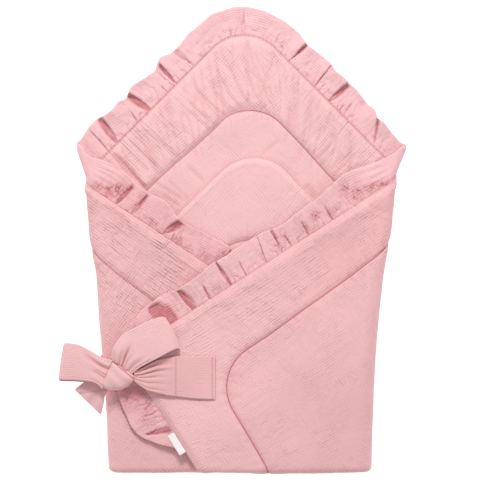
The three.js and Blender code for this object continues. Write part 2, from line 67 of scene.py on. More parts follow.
def curveThrough(rows, place, at):  # a smooth curve through a table's rows, read at one or many places
    xs, ys = column(rows, 0), column(rows, place)
    i = np.clip(np.searchsorted(xs, at, side="right") - 1, 0, len(xs) - 2)
    slopes = np.gradient(ys, xs)
    width = xs[i + 1] - xs[i]
    t = np.clip((at - xs[i]) / width, 0, 1)
    start = (1 + 2 * t) * (1 - t) ** 2 * ys[i] + t * (1 - t) ** 2 * width * slopes[i]
    return start + t * t * (3 - 2 * t) * ys[i + 1] + t * t * (t - 1) * width * slopes[i + 1]


def softNoise(x, y, seed):  # smooth bumps one unit apart, from -1 to 1, the same on each run
    cells = 128
    lattice = np.random.default_rng(seed).uniform(-1, 1, (cells, cells))
    column0, row0 = np.floor(x).astype(int), np.floor(y).astype(int)
    sx, sy = smooth(x - column0), smooth(y - row0)
    corner = [[lattice[(row0 + j) % cells, (column0 + i) % cells] for i in (0, 1)] for j in (0, 1)]
    return blend(blend(corner[0][0], corner[0][1], sx), blend(corner[1][0], corner[1][1], sx), sy)


def creases(x, y, seed):  # rounded ridges with narrow valleys between them, from 0 in a valley to 1
    return 1 - (1 - np.minimum(1, 2.4 * np.abs(softNoise(x, y, seed)))) ** 2


# The quilted square, opened flat: u runs from the hood towards the right corner, v towards the left one
quilt = {
    "side": 750, "cornerRadius": 60, "loft": 7, "layerGap": 1.5, "hoodCornerY": 611.6,
    "quiltingInset": 68.75, "pinch": 0.42, "pinchWidth": 2.4, "puff": 0.75, "puffWidth": 12,
    "tipFrom": 330, "tipReach": 80, "cells": 60, "showing": 0.02,
}
loft = quilt["loft"]
layerPitch = loft + quilt["layerGap"]
squareCentreY = quilt["hoodCornerY"] - quilt["side"] / math.sqrt(2)

# How much farther in than its usual inset the quilting line is sewn: place along each side, and the shift
seamDrift = {
    "lowU": [
        (-260, 8), (-243, 9.5), (-205, 8), (-165, 5), (-125, 3.5), (-50, 1), (10, 2), (50, 7), (90, 9.5),
        (110, 10.5),
    ],
    "lowV": [
        (-265, -3), (-205, -2), (-145, 1), (10, 1.5), (60, 6), (110, 8.5), (160, 10.5), (210, 13),
        (255, 13.5),
    ],
    "highU": [(-255, 14), (-215, 13), (-175, 11.5), (-155, 10.5), (-80, 6), (0, 0)],
    "rim": 55, "from": 120, "reach": 110, "tip": 8,
}

# The folds: where the foot turns up, and each side fold's line with how far its round edge lies inside it
foot = {"y": 4.3, "lean": 0.032, "radius": loft + quilt["layerGap"] / 2}
foot["taken"] = math.pi * (foot["radius"] - loft / 2)
folding = {"puff": 4, "puffWidth": 60, "coverWidth": 120, "firstRadius": 16, "reach": 64}
leftFold = {
    "hand": -1, "x": 222.1, "y": 389.5, "lean": math.radians(5.8),
    "drawnIn": [(0, 0), (60, 3.8), (175, 7.3), (265, 10), (330, 6.2), (390, 7), (432, -1)],
}
rightFold = {
    "hand": 1, "x": 214.8, "y": 396.8, "lean": math.radians(6.1),
    "drawnIn": [(0, 0), (50, 4.5), (110, 8.7), (180, 11), (255, 12), (330, 8.3), (390, 9), (432, -2)],
}


def fromSquare(u, v):
    return (u - v) / math.sqrt(2), squareCentreY - (u + v) / math.sqrt(2)


def tipShare(u, v):  # 1 on the foot's corner, whose tip shows between the flaps
    return smooth((u + v - quilt["tipFrom"]) / quilt["tipReach"])


def drifted(u, v, inset):  # moves the cloth in or out, so that the quilting line lies where it is sewn
    near = smooth(inset / seamDrift["rim"])

    def drift(key, at, out):
        return tableAt(seamDrift[key], at) * near * smooth((out - seamDrift["from"]) / seamDrift["reach"])

    onTip = seamDrift["tip"] * tipShare(u, v) * near
    return u + drift("lowU", v, -u) - drift("highU", v, u) - onTip, v + drift("lowV", u, -v) - onTip


def toSquare(x, y):
    down = squareCentreY - y
    return (down + x) / math.sqrt(2), (down - x) / math.sqrt(2)


def insetOf(x, y):  # distance inside the square's rounded outline
    u, v = toSquare(x, y)
    straight = quilt["side"] / 2 - quilt["cornerRadius"]
    pastU, pastV = np.abs(u) - straight, np.abs(v) - straight
    corner = np.hypot(np.maximum(pastU, 0), np.maximum(pastV, 0))
    return quilt["cornerRadius"] - np.where((pastU > 0) & (pastV > 0), corner, np.maximum(pastU, pastV))


def toFold(fold, x, y):
    dx, dy = x * fold["hand"] - fold["x"], y - fold["y"]
    sin, cos = math.sin(fold["lean"]), math.cos(fold["lean"])
    return dx * sin + dy * cos, dx * cos - dy * sin


def fromFold(fold, along, out):
    sin, cos = math.sin(fold["lean"]), math.cos(fold["lean"])
    return fold["hand"] * (fold["x"] + along * sin + out * cos), fold["y"] + along * cos - out * sin


def mirrored(fold, x, y):
    along, out = toFold(fold, x, y)
    return fromFold(fold, along, -out)


def footLineY(x):
    kinks = [fold["x"] - (fold["y"] - foot["y"]) * math.tan(fold["lean"]) for fold in (leftFold, rightFold)]
    turns = [math.tan(2 * fold["lean"]) for fold in (leftFold, rightFold)]
    past = np.maximum(0, np.abs(x) - np.where(x < 0, kinks[0], kinks[1]))
    return foot["y"] - past * np.where(x < 0, turns[0], turns[1])


def overFoot(x, y, z):
    line = footLineY(x)
    past = line - y
    angle = np.clip(math.pi * past / foot["taken"], 0, math.pi)
    reach = foot["radius"] - z
    bentY = line - reach * np.sin(angle) + np.maximum(0, past - foot["taken"])
    bentZ = foot["radius"] - reach * np.cos(angle)
    flat = past <= 0
    return x + foot["lean"] * np.maximum(past, 0), np.where(flat, y, bentY), np.where(flat, z, bentZ)


def cover(inset):
    return smooth(1 + inset / folding["coverWidth"])


def underFoot(x, y):  # the place on the opened square that the foot fold lays over a point
    line = footLineY(x)
    past = y - line + foot["taken"]
    return x - foot["lean"] * past, line - past


def foldPuffAt(fold, x, y):
    return folding["puff"] * (1 - smooth(-toFold(fold, x, y)[1] / folding["puffWidth"]))


def footCover(x, y):
    return cover(insetOf(*underFoot(x, y)))


def seatOnBase(x, y):
    return layerPitch * (1 + footCover(x, y))


def leftTop(x, y):
    tuck = footCover(*mirrored(leftFold, x, y))
    return seatOnBase(x, y) + layerPitch * tuck + loft + foldPuffAt(leftFold, x, y)


def rightTop(x, y):
    onLeft = cover(insetOf(*mirrored(leftFold, x, y)))
    seat = blend(seatOnBase(x, y), leftTop(x, y) + quilt["layerGap"], onLeft)
    tuck = footCover(*mirrored(rightFold, x, y))
    return seat + layerPitch * tuck + loft + foldPuffAt(rightFold, x, y)


leftFold["top"] = leftTop
rightFold["top"] = rightTop


def roundEdge(fold, along):
    drawnIn = tableAt(fold["drawnIn"], fold["y"] + along)
    radius = np.full_like(along, folding["firstRadius"], dtype=float)
    for _ in range(4):
        radius = fold["top"](*fromFold(fold, along, -drawnIn - radius)) / 2
    return radius, -drawnIn - radius, 2 * (drawnIn + radius)


def overSide(fold, x, y, z):
    along, out = toFold(fold, x, y)
    radius, start, taken = roundEdge(fold, along)
    past = out - start
    angle = np.clip(math.pi * past / taken, 0, math.pi)
    reach = radius - z
    bentX, bentY = fromFold(fold, along, start + reach * np.sin(angle))
    bentZ = radius - reach * np.cos(angle)
    overX, overY = fromFold(fold, along, start - (past - taken))
    overZ = fold["top"](overX, overY) - z
    pick = lambda flat, bent, over: np.where(past <= 0, flat, np.where(past < taken, bent, over))
    return pick(x, bentX, overX), pick(y, bentY, overY), pick(z, bentZ, overZ)


def folded(x, y, z):  # takes a point of the opened wrap to its place in the folded one
    return overSide(rightFold, *overSide(leftFold, *overFoot(x, y, z)))


sewnEnd = {"x": -39.5, "y": 125.2}  # the right tie's end, where the frame is read from
tieLow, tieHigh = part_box("tie_right")
shiftX = tieHigh[0] / millimetre - sewnEnd["x"]
shiftY = (tieLow[1] + tieHigh[1]) / 2 / millimetre - sewnEnd["y"]
print("fold map ready, shift", round(shiftX, 2), round(shiftY, 2))


# Mesh helpers
floorGap = 0.05


def makeSlab(along, across, rimSteps=2):  # a flat pad from -1 to 1 each way, with an upper and a lower face
    bm = bmesh.new()
    bmesh.ops.create_grid(bm, x_segments=along, y_segments=across, size=1)
    bmesh.ops.translate(bm, verts=bm.verts[:], vec=(0, 0, -1))
    grown = bmesh.ops.extrude_face_region(bm, geom=bm.faces[:], use_keep_orig=True)
    upper = [item for item in grown["geom"] if isinstance(item, bmesh.types.BMVert)]
    bmesh.ops.translate(bm, verts=upper, vec=(0, 0, 2))
    upright = [edge for edge in bm.edges if abs(edge.verts[0].co.z - edge.verts[1].co.z) > 1]
    bmesh.ops.subdivide_edges(bm, edges=upright, cuts=rimSteps, use_grid_fill=True)
    bmesh.ops.recalc_face_normals(bm, faces=bm.faces[:])
    return bm


def coordinates(mesh):
    flat = np.empty(len(mesh.vertices) * 3)
    mesh.vertices.foreach_get("co", flat)
    return flat.reshape(-1, 3).T


def finishPiece(bm, name, shape, material, nodes):
    # shape gives places in millimetres, the cloth's own two directions, and how much painted shade each
    # takes
    mesh = bpy.data.meshes.new(name)
    bm.to_mesh(mesh)
    bm.free()
    (x, y, z), cloth, depth = shape(*coordinates(mesh))
    mesh.attributes.new("paintedShade", "FLOAT", "POINT").data.foreach_set("value", np.clip(depth, 0, 1))
    places = np.stack([x + shiftX, y + shiftY, np.maximum(z, floorGap)], axis=1) * millimetre
    mesh.vertices.foreach_set("co", places.ravel())
    layer = mesh.uv_layers.new(name="cloth")
    corners = np.empty(len(mesh.loops), np.int32)
    mesh.loops.foreach_get("vertex_index", corners)
    layer.data.foreach_set("uv", (np.stack(cloth, axis=1)[corners] * millimetre).ravel())
    mesh.polygons.foreach_set("use_smooth", np.ones(len(mesh.polygons), bool))
    mesh.update()
    piece = bpy.data.objects.new(name, mesh)
    bpy.context.scene.collection.objects.link(piece)
    piece.data.materials.append(material)
    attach(piece, "root")
    if nodes:
        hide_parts(*nodes)
    print(name, len(mesh.polygons), "faces")
    return piece


def unit(vectors):
    return vectors / np.maximum(np.linalg.norm(vectors, axis=0), 1e-9)


def thicken(middle, a, b, side, thickness):
    # a sheet of even thickness round a middle surface, with its rims rounded
    step = 1e-3
    place = np.array(middle(a, b))
    alongA = np.array(middle(a + step, b)) - np.array(middle(a - step, b))
    alongB = np.array(middle(a, b + step)) - np.array(middle(a, b - step))
    normal = unit(np.cross(alongA, alongB, axis=0))
    rim = np.sqrt(np.maximum(0, 1 - side * side))
    atA, atB = np.where(np.abs(a) > 0.9999, np.sign(a), 0), np.where(np.abs(b) > 0.9999, np.sign(b), 0)
    outward = unit(unit(alongA) * atA + unit(alongB) * atB)
    return place + (normal * side + outward * rim) * thickness / 2


# Shader maths: a socket that can be added, multiplied and so on
class Value:
    def __init__(self, finish, socket):
        self.finish = finish
        self.socket = socket

    def join(self, operation, first, second=0):
        return self.finish.node("ShaderNodeMath", {"operation": operation}, {0: first, 1: second})

    def sine(self):
        return self.join("SINE", self)

    def size(self):
        return self.join("ABSOLUTE", self)

    def atLeast(self, other):
        return self.join("MAXIMUM", self, other)

    def fade(self, start, end, low=0, high=1):
        settings = {"interpolation_type": "SMOOTHSTEP"}
        return self.finish.node("ShaderNodeMapRange", settings, {0: self, 1: start, 2: end, 3: low, 4: high})

    def __add__(self, other):
        return self.join("ADD", self, other)

    def __sub__(self, other):
        return self.join("SUBTRACT", self, other)

    def __rsub__(self, other):
        return self.join("SUBTRACT", other, self)

    def __mul__(self, other):
        return self.join("MULTIPLY", self, other)

    def __truediv__(self, other):
        return self.join("DIVIDE", self, other)

    def __pow__(self, other):
        return self.join("POWER", self, other)

    __radd__ = __add__


class Finish:
    def __init__(self, name):
        self.material = bpy.data.materials.new(name)
        self.material.use_nodes = True
        self.tree = self.material.node_tree
        self.tree.nodes.clear()

    def node(self, kind, settings=None, inputs=None, output=0):
        made = self.tree.nodes.new(kind)
        for key, value in (settings or {}).items():
            setattr(made, key, value)
        for key, value in (inputs or {}).items():
            if isinstance(value, Value):
                self.tree.links.new(value.socket, made.inputs[key])
            else:
                made.inputs[key].default_value = value
        return Value(self, made.outputs[output] if made.outputs else None)

    def noise(self, x, y, detail=2, roughness=0.5):
        place = self.node("ShaderNodeCombineXYZ", {}, {0: x, 1: y})
        inputs = {"Vector": place, "Scale": 1, "Detail": detail, "Roughness": roughness}
        return self.node("ShaderNodeTexNoise", {"noise_dimensions": "2D"}, inputs)

    def choose(self, share, first, second):
        return self.node("ShaderNodeMix", {}, {0: share, 2: first, 3: second})

    def mix(self, share, first, second):
        settings = {"data_type": "RGBA"}
        return self.node("ShaderNodeMix", settings, {0: share, 6: first, 7: second}, output=2)


muslinLook = {
    "crinkleDepth": 0.00036, "valleyShade": 0.9, "patch": 0.97, "paintedShadeTone": (0.68, 0.395, 0.415),
    "seamShade": (0.56, 0.31, 0.33), "roughness": 0.92, "sheen": 0.2, "sheenRoughness": 0.5,
    "specular": 0.2, "threads": 1.85, "wander": 4, "wanderSize": (30, 60), "brokenSize": (6, 10),
    "broken": (0.38, 0.62, 0.2, 1), "crepeSize": (3, 18), "crepe": (0.3, 0.56), "patchSize": (42, 42),
    "patchWeave": (0.3, 0.7, 0.45, 1.25), "patchCrepe": (0.45, 0.75, 0.04, 0.5), "toneSize": 45,
    "troughWeave": 1.4, "openWeave": 0.95,
}
# where the marks of sewing start and end, in millimetres of the cloth, and how strong they are
# the dark lines along the seams are painted shade, on the quilting line broken into stitches
marksLook = {
    "hood": (-450, -390, 1, 0), "nearSide": (40, 190), "band": (1, 9), "leftShift": 57, "flapSide": (-40, 2),
    "stitchPitch": 1.9, "stitches": (0.12, 0.88), "line": (0.35, 1.3, 1, 0), "paleLeft": 0.3,
    "rim": (-1.3, -0.4), "rimShade": 0.4, "puckerSize": (4.4, 90), "pucker": (0.28, 0.52), "puckerLeft": 0.4,
    "puckerBoth": 0.8, "puckerLift": 1.3, "crepeSize": (3, 48), "crepe": (0.35, 0.6), "crepeLeft": 0.35,
    "crepeBoth": 0.45, "clearOfFoot": (0, 70, 1, 0.25), "leftFlap": (150, 320), "aboveBow": (-60, 50, 1, 0),
    "weave": 0.85, "hoodWeave": 0.3, "bandWeave": 0.25, "leftWeave": 0.45,
    "rootLine": (0.8, 2, 1, 0), "dashSize": 3.2, "dashes": (0.42, 0.6, 0.05, 1),
    "onHood": (380, 430, 0.75, 0.35), "root": 900, "ruffleWeave": 0.9,
}


def roundedSquare(u, v, half, radius):  # distance outside a square with rounded corners
    pastU, pastV = u.size() - (half - radius), v.size() - (half - radius)
    corner = (pastU.atLeast(0) ** 2 + pastV.atLeast(0) ** 2) ** 0.5
    return corner - (pastU.atLeast(pastV) * -1).atLeast(0) - radius


def quiltMarks(finish, u, v):  # stitches with painted seam shade, the hood's puckers and the flaps' creped lines
    look, half, radius = marksLook, quilt["side"] / 2, quilt["cornerRadius"]
    fromSeam = roundedSquare(u, v, half - quilt["quiltingInset"], radius)
    fromRim = roundedSquare(u, v, half, radius)
    hood = (u + v).fade(*look["hood"])
    onLeft = (v - u).fade(-1, 1)
    nearSide = (v - u).size().fade(*look["nearSide"])
    acrossRim = finish.choose(onLeft, v, u)
    alongRim = finish.choose(onLeft, u, v) + onLeft * look["leftShift"]
    band = fromSeam.fade(*look["band"])
    stitches = ((u - v) * look["stitchPitch"]).sine() * look["stitches"][0] + look["stitches"][1]
    # painted shade: the quilting line's stitches darkened as its sewn channel, and the rim where the ruffle
    # is sewn on
    line = fromSeam.size().fade(*look["line"]) * stitches * (1 - onLeft * look["paleLeft"])
    rim = fromRim.fade(*look["rim"]) * hood * look["rimShade"]
    pucker = finish.noise(alongRim / look["puckerSize"][0], acrossRim / look["puckerSize"][1], 1)
    strength = hood * band * nearSide * (onLeft * look["puckerLeft"] + look["puckerBoth"])
    puckers = (pucker.fade(*look["pucker"]) - 1) * strength
    creped = finish.noise(acrossRim / look["crepeSize"][0], alongRim / look["crepeSize"][1], 2, 0.6)
    flapSide = (1 - hood) * fromSeam.fade(*look["flapSide"]) * nearSide
    clearOfFoot = (u + v).fade(*look["clearOfFoot"])
    strength = flapSide * (onLeft * look["crepeLeft"] + look["crepeBoth"])
    lined = (creped.fade(*look["crepe"]) - 1) * strength * clearOfFoot
    leftFlap = (v - u).fade(*look["leftFlap"]) * (u + v).fade(*look["aboveBow"])
    flapBand = (1 - hood) * band * clearOfFoot
    weave = look["weave"] + hood * band * look["hoodWeave"]
    return {
        "line": line.atLeast(rim), "lift": puckers * look["puckerLift"] + lined,
        "weave": weave + flapBand * look["bandWeave"] + leftFlap * look["leftWeave"],
    }


def ruffleMarks(finish, u, v):  # painted shade in a broken line where the gathered edge is sewn on
    look = marksLook
    line = (v.size() - look["root"]).fade(*look["rootLine"])
    dashes = finish.noise(u / look["dashSize"], 0, 1).fade(*look["dashes"])
    return {"line": line * dashes * u.size().fade(*look["onHood"]), "lift": 0, "weave": look["ruffleWeave"]}


def wovenLines(finish, u, v, across):  # broken lines along both threads, and longer creped ones in patches
    look, lines = muslinLook, []

    def grain(pair, offset, size, detail, roughness=0.5):
        return finish.noise(pair[0] / size[0] + offset, pair[1] / size[1], detail, roughness)

    for pair, offset in (((u, v), 3.1), ((v, u), 17.7)):
        patch = grain(pair, offset, look["patchSize"], 2, 0.6)
        wander = grain(pair, offset, look["wanderSize"], 0) * look["wander"]
        threads = (pair[0] * look["threads"] + wander).sine() * 0.5 + 0.5
        broken = grain(pair, offset, look["brokenSize"], 1).fade(*look["broken"])
        creped = grain(pair, offset, look["crepeSize"], 1, 0.6).fade(*look["crepe"]) - 1
        woven = threads * broken * patch.fade(*look["patchWeave"])
        lines.append(woven + creped * patch.fade(*look["patchCrepe"]))
    return lines[0] * across + lines[1]


def shaded(colour, amounts):
    return tuple(part * amount for part, amount in zip(colour, amounts)) + (1,)


def makeMuslin(name, colour, crinkle=1, across=1, marks=None):  # double gauze
    finish = Finish(name)
    uv = finish.node("ShaderNodeUVMap", {"uv_map": "cloth"})
    u, v = [finish.node("ShaderNodeSeparateXYZ", {}, {0: uv}, output=k) * 1000 for k in (0, 1)]
    crinkles = wovenLines(finish, u, v, across)
    # the painted shade of each point, laid on in creases, slits, folds and places that lie in shade
    paintedShade = finish.node("ShaderNodeAttribute", {"attribute_name": "paintedShade"}, {}, output=2)
    marked = marks(finish, u, v) if marks else None
    if marked:
        inTroughs = paintedShade * muslinLook["troughWeave"] + muslinLook["openWeave"]
        crinkles = crinkles * marked["weave"] * inTroughs + marked["lift"]
    bump = finish.node("ShaderNodeBump", {}, {
        "Strength": 1, "Distance": muslinLook["crinkleDepth"], "Height": crinkles * crinkle,
    })
    valleyShade, patchy = muslinLook["valleyShade"], muslinLook["patch"]
    patches = finish.noise(u / muslinLook["toneSize"], v / muslinLook["toneSize"], 3, 0.6)
    base = finish.mix(patches.fade(0.35, 0.65), shaded(colour, (1, 1, 1)), shaded(colour, (patchy,) * 3))
    # painted shade: the low places of the crinkles are coloured darker and a deeper pink
    valleyShadeColour = shaded(colour, (valleyShade, valleyShade ** 1.6, valleyShade ** 1.6))
    toned = finish.mix(crinkles.fade(-1.2, 0.5, 1, 0), base, valleyShadeColour)
    # painted shade: the cloth is coloured darker and a deeper pink where the attribute says
    withShade = finish.mix(paintedShade, toned, shaded(colour, muslinLook["paintedShadeTone"]))
    # painted shade along the seams, broken into stitches on the quilting line
    if marked:
        withShade = finish.mix(marked["line"], withShade, shaded(colour, muslinLook["seamShade"]))
    surface = finish.node("ShaderNodeBsdfPrincipled", {}, {
        "Base Color": withShade, "Roughness": muslinLook["roughness"], "Normal": bump,
        "Sheen Weight": muslinLook["sheen"], "Sheen Roughness": muslinLook["sheenRoughness"],
        "Specular IOR Level": muslinLook["specular"],
    })
    finish.node("ShaderNodeOutputMaterial", {}, {"Surface": surface})
    return finish.material


def makePlain(name, colour, roughness, glow=0):
    finish = Finish(name)
    place = finish.node("ShaderNodeTexCoord", {}, {}, output=3)
    grain = finish.node("ShaderNodeTexNoise", {}, {"Vector": place, "Scale": 900, "Detail": 2})
    tone = finish.mix(grain, colour + (1,), tuple(c * 0.94 for c in colour) + (1,))
    surface = finish.node("ShaderNodeBsdfPrincipled", {}, {
        "Base Color": tone, "Roughness": roughness,
        "Emission Color": (1, 1, 1, 1), "Emission Strength": glow,
    })
    finish.node("ShaderNodeOutputMaterial", {}, {"Surface": surface})
    return finish.material


pink = (0.81, 0.505, 0.51)
rufflePink = (0.84, 0.518, 0.532)
tiePink = (0.785, 0.49, 0.49)
quiltMuslin = makeMuslin("quilt_muslin", pink, marks=quiltMarks)
ruffleMuslin = makeMuslin("ruffle_muslin", rufflePink, marks=ruffleMarks)
tieMuslin = makeMuslin("tie_muslin", tiePink, crinkle=0.6, across=0.35)
threadPink = makePlain("thread_pink", (0.62, 0.33, 0.35), 0.7)
labelTape = makePlain("label_tape", (0.88, 0.86, 0.85), 0.6)
print("materials ready")


# The quilt: a fine grid where it shows, puffed between its seams
# the channel, seam, pucker, flap and band shades are painted shade
relief = {
    "stitchPuckers": 0.8, "stitchSpacing": 6.5, "stitchReach": 22, "hoodPuckers": 2, "rightHoodShare": 0.8,
    "leftPuckers": 0.6, "rightPuckers": 0.3, "tipPuckers": 0.1, "puckerWidth": 14, "puckerLength": 60,
    "fromRim": 6, "toSeam": 9, "pastStitch": 3, "roll": 1.7, "rollWidth": 6, "rollAt": 8, "rollLength": 26,
    "tipRollAt": 3, "tipRollWidth": 2, "rollSway": 0.45, "crinkles": 0.2, "crinkleWidth": 5.5,
    "crinkleLength": 38, "patchWidth": 70, "swells": 1.1, "swellWidth": 62, "edgeEase": 8, "footEase": 22,
    "hem": [(0, 3.2), (1.5, 4.7), (4, 6.1), (9, 6.9), (25, 7.3), (60, loft)], "tipHem": 1.2,
    "showMargin": 24, "foldMargin": 6, "channelShade": 0.24, "channelWidth": 1.5, "seamShade": 0.22,
    "puckerShade": 0.3, "flapShade": (0.12, 0.14), "bandFrom": (80, 260), "bandShade": (0.1, -0.11),
    "creaseWidths": (0.95, 0.4), "creaseLength": 8, "creaseEnds": 5,
}
# The main creases, placed where they lie in the folded wrap. Each row: start, end, sideways bow, half width,
# depth, and how much it darkens the cloth
mainCreases = {
    "hood": [
        (-180, 433, -154, 406, 0, 1.73, 1.8, 0.85), (-161, 413, -131, 379, 0, 2.02, 1.92, 0.85),
        (-154, 446, -127, 418, 0, 2.7, 0.8, 0.22), (-139, 432, -116, 408, 0, 3.2, 1.03, 0.29),
        (-163, 437, -127, 402, 0, 1.6, 0.57, 0.22), (-138, 462, -111, 437, 0, 2.7, 0.8, 0.16),
        (-113, 443, -86, 421, 0, 3.1, 0.92, 0.32), (-130, 459, -94, 429, 0, 1.4, 0.57, 0.16),
        (-113, 495, -92, 473, 0, 4, 0.8, 0.11), (-80, 505, -30, 459, -2, 2.16, 0.69, 0.27),
        (-70, 521, -16, 473, -3, 1.68, 0.69, 0.32), (-54, 535, -5, 478, -3, 1.68, 0.57, 0.27),
        (-39, 545, 3, 483, -3, 1.68, 0.57, 0.27), (-22, 554, 16, 483, -4, 1.68, 0.57, 0.27),
        (-1, 556, 32, 483, -4, 1.68, 0.69, 0.27), (16, 554, 45, 481, -4, 1.68, 0.57, 0.22),
        (32, 526, 51, 478, -2, 1.68, 0.57, 0.19), (-8, 567, 27, 505, -3, 1.56, 0.46, 0.17),
        (100, 406, 126, 436, 0, 1.7, 0.8, 0.26), (113, 402, 147, 431, 0, 1.5, 0.69, 0.24),
        (96, 418, 117, 439, 0, 2.2, 0.8, 0.22), (78, 462, 105, 491, 0, 2.7, 0.46, 0.08),
        (86, 446, 122, 478, 0, 1.5, 0.57, 0.13), (138, 401, 165, 418, 0, 2, 0.69, 0.22),
        (-127, 393, -78, 362, 0, 2.5, 0.92, 0.29), (-113, 373, -85, 356, 0, 2.3, 0.69, 0.27),
        (-105, 394, -73, 364, 0, 1.7, 0.57, 0.19), (-78, 413, -51, 386, 0, 3.1, 0.8, 0.22),
        (-18, 456, 0, 429, 0, 5, 0.57, 0.08), (23, 425, 49, 446, 0, 2.5, 0.69, 0.13),
        (-30, 443, -5, 421, 0, 1.1, 0.46, 0.16), (81, 387, 99, 366, 0, 5, 0.8, 0.22),
        (-82, 494, -40, 456, -1, 1.8, 0.5, 0.24), (-62, 516, -27, 470, -3, 1.56, 0.5, 0.27),
        (-46, 521, -11, 478, -3, 1.56, 0.5, 0.27), (-32, 535, -1, 486, -4, 1.56, 0.5, 0.31),
        (-15, 540, 16, 486, -4, 1.56, 0.5, 0.27), (-5, 570, 24, 521, -3, 1.56, 0.5, 0.24),
        (5, 537, 35, 482, -5, 1.56, 0.5, 0.27), (14, 570, 38, 521, -3, 1.56, 0.5, 0.2),
        (24, 535, 49, 478, -4, 1.56, 0.5, 0.2), (-22, 572, 8, 521, -2, 1.56, 0.4, 0.2),
        (-97, 475, -65, 448, 0, 2.2, 0.6, 0.14), (-65, 494, -30, 462, -2, 2.4, 0.5, 0.1),
    ],
    "left": [
        (-197, 363, -148, 328, 2, 4.5, 1.03, 0.32), (-127, 306, -65, 267, 0, 1.2, 0.57, 0.22),
        (-135, 301, -70, 259, 0, 1.2, 0.57, 0.19), (-127, 288, -77, 251, 0, 1.3, 0.69, 0.22),
        (-159, 316, -89, 273, 0, 1.3, 0.46, 0.16), (-103, 302, -61, 273, 0, 1.2, 0.57, 0.22),
        (-92, 301, -57, 277, 0, 1.1, 0.46, 0.16), (-188, 335, -140, 302, 0, 1.4, 0.46, 0.11),
        (-200, 281, -178, 243, 0, 2.7, 0.57, 0.13),
    ],
    "right": [
        (165, 359, 196, 346, 0, 4, 0.92, 0.26), (157, 356, 181, 336, 0, 1.6, 0.57, 0.19),
        (173, 343, 194, 335, 0, 2.7, 0.57, 0.16), (32, 289, 103, 310, 0, 2, 0.46, 0.13),
        (24, 262, 76, 281, 0, 2, 0.46, 0.11), (8, 240, 62, 230, 0, 1.4, 0.46, 0.08),
    ],
}


def creasesAt(rows, x, y):  # how deep the creases are at a place of the folded wrap, and their painted shade
    drop, tone = np.zeros_like(x), np.zeros_like(x)
    for startX, startY, endX, endY, bow, half, depth, dark in rows:
        length = math.hypot(endX - startX, endY - startY)
        alongX, alongY = (endX - startX) / length, (endY - startY) / length
        along = ((x - startX) * alongX + (y - startY) * alongY) / length
        aside = (y - startY) * alongX - (x - startX) * alongY - bow * 4 * along * (1 - along)
        least, sway = relief["creaseWidths"]
        uneven = softNoise(along * length / relief["creaseLength"], along * 0 + startX, 14)
        wide = half * (least + sway * uneven)
        ends = relief["creaseEnds"]
        bell = np.exp(-(aside / wide) ** 2) * smooth(along * ends) * smooth((1 - along) * ends)
        drop, tone = np.maximum(drop, depth * bell), np.maximum(tone, dark * bell)
    return drop, tone


def openSquare(a, b):  # a runs along v and b along u; rings of the grid follow the rounded outline
    side, corner = quilt["side"], quilt["cornerRadius"]
    ring = np.maximum(np.abs(a), np.abs(b))
    half = side / 2 * ring
    inset = side / 2 - half
    radius = np.minimum(corner, half)
    straight = half - radius
    share = np.minimum(np.abs(a), np.abs(b)) / np.maximum(ring, 1e-9)
    run = share * (straight + radius * math.pi / 4)
    angle = np.maximum(run - straight, 0) / np.maximum(radius, 1e-9)
    lead, trail = straight + radius * np.cos(angle), np.minimum(run, straight) + radius * np.sin(angle)
    aLeads = np.abs(a) >= np.abs(b)
    v = np.sign(a) * np.where(aLeads, lead, trail)
    u = np.sign(b) * np.where(aLeads, trail, lead)
    outV = np.sign(a) * np.where(aLeads, np.cos(angle), np.sin(angle))
    outU = np.sign(b) * np.where(aLeads, np.sin(angle), np.cos(angle))
    rimHalf = side / 2 - corner + corner * math.pi / 4
    sideOf = np.where(aLeads, np.where(a > 0, 0, 4), np.where(b > 0, 2, 6))
    signed = np.where(aLeads, np.where(a > 0, b, -b), np.where(b > 0, -a, a))
    around = sideOf * rimHalf + np.sign(signed) * share * rimHalf
    return u, v, outU, outV, inset, around


def pastFold(fold, x, y):  # how far past the start of a side bend a point lies, once the foot is folded
    along, out = toFold(fold, x, y)
    return out - roundEdge(fold, along)[1]


def showsAt(x, y):  # 1 where the opened quilt's upper and lower faces can be seen once it is folded
    liftX, liftY, _ = overFoot(x, y, loft / 2)
    placeX, placeY, _ = folded(x, y, np.full_like(x, loft / 2))
    margin, near, sides = relief["showMargin"], relief["foldMargin"], (rightFold, leftFold)
    onRight, onLeft = [smooth(pastFold(fold, liftX, liftY) / near + 1) for fold in sides]
    onFoot = smooth((footLineY(x) - y) / near + 1)
    tucked = smooth((footLineY(x) - y - foot["taken"]) / near)
    underRight, underLeft = [smooth(insetOf(*mirrored(fold, placeX, placeY)) / margin) for fold in sides]
    underTip = smooth(insetOf(*underFoot(placeX, placeY)) / margin)
    upper = (1 - onRight) * (1 - onLeft) * (1 - onFoot) * (1 - underRight) * (1 - underLeft) * (1 - underTip)
    flaps = np.maximum(onRight, onLeft * (1 - underRight)) * (1 - tucked)
    tip = onFoot * (1 - onRight) * (1 - onLeft) * (1 - underRight) * (1 - underLeft)
    return upper, np.maximum(flaps, tip)


def makeQuiltMesh():
    bm = makeSlab(quilt["cells"], quilt["cells"], rimSteps=3)
    level = lambda edge: abs(edge.verts[0].co.z - edge.verts[1].co.z) < 0.1
    bmesh.ops.subdivide_edges(bm, edges=[e for e in bm.edges if level(e)], cuts=1, use_grid_fill=True)
    bm.verts.ensure_lookup_table()
    a, b, side = np.array([vert.co[:] for vert in bm.verts]).T
    u, v, _, _, inset, _ = openSquare(a, b)
    x, y = fromSquare(*drifted(u, v, inset))
    upper, lower = showsAt(x, y)
    shows = np.where(side > 0.99, upper, np.where(side < -0.99, lower, np.maximum(upper, lower)))
    bm.verts.index_update()
    seen = [face for face in bm.faces if max(shows[vert.index] for vert in face.verts) > quilt["showing"]]
    edges = {edge for face in seen for edge in face.edges if level(edge)}
    bmesh.ops.subdivide_edges(bm, edges=list(edges), cuts=2, use_grid_fill=True)
    return bm


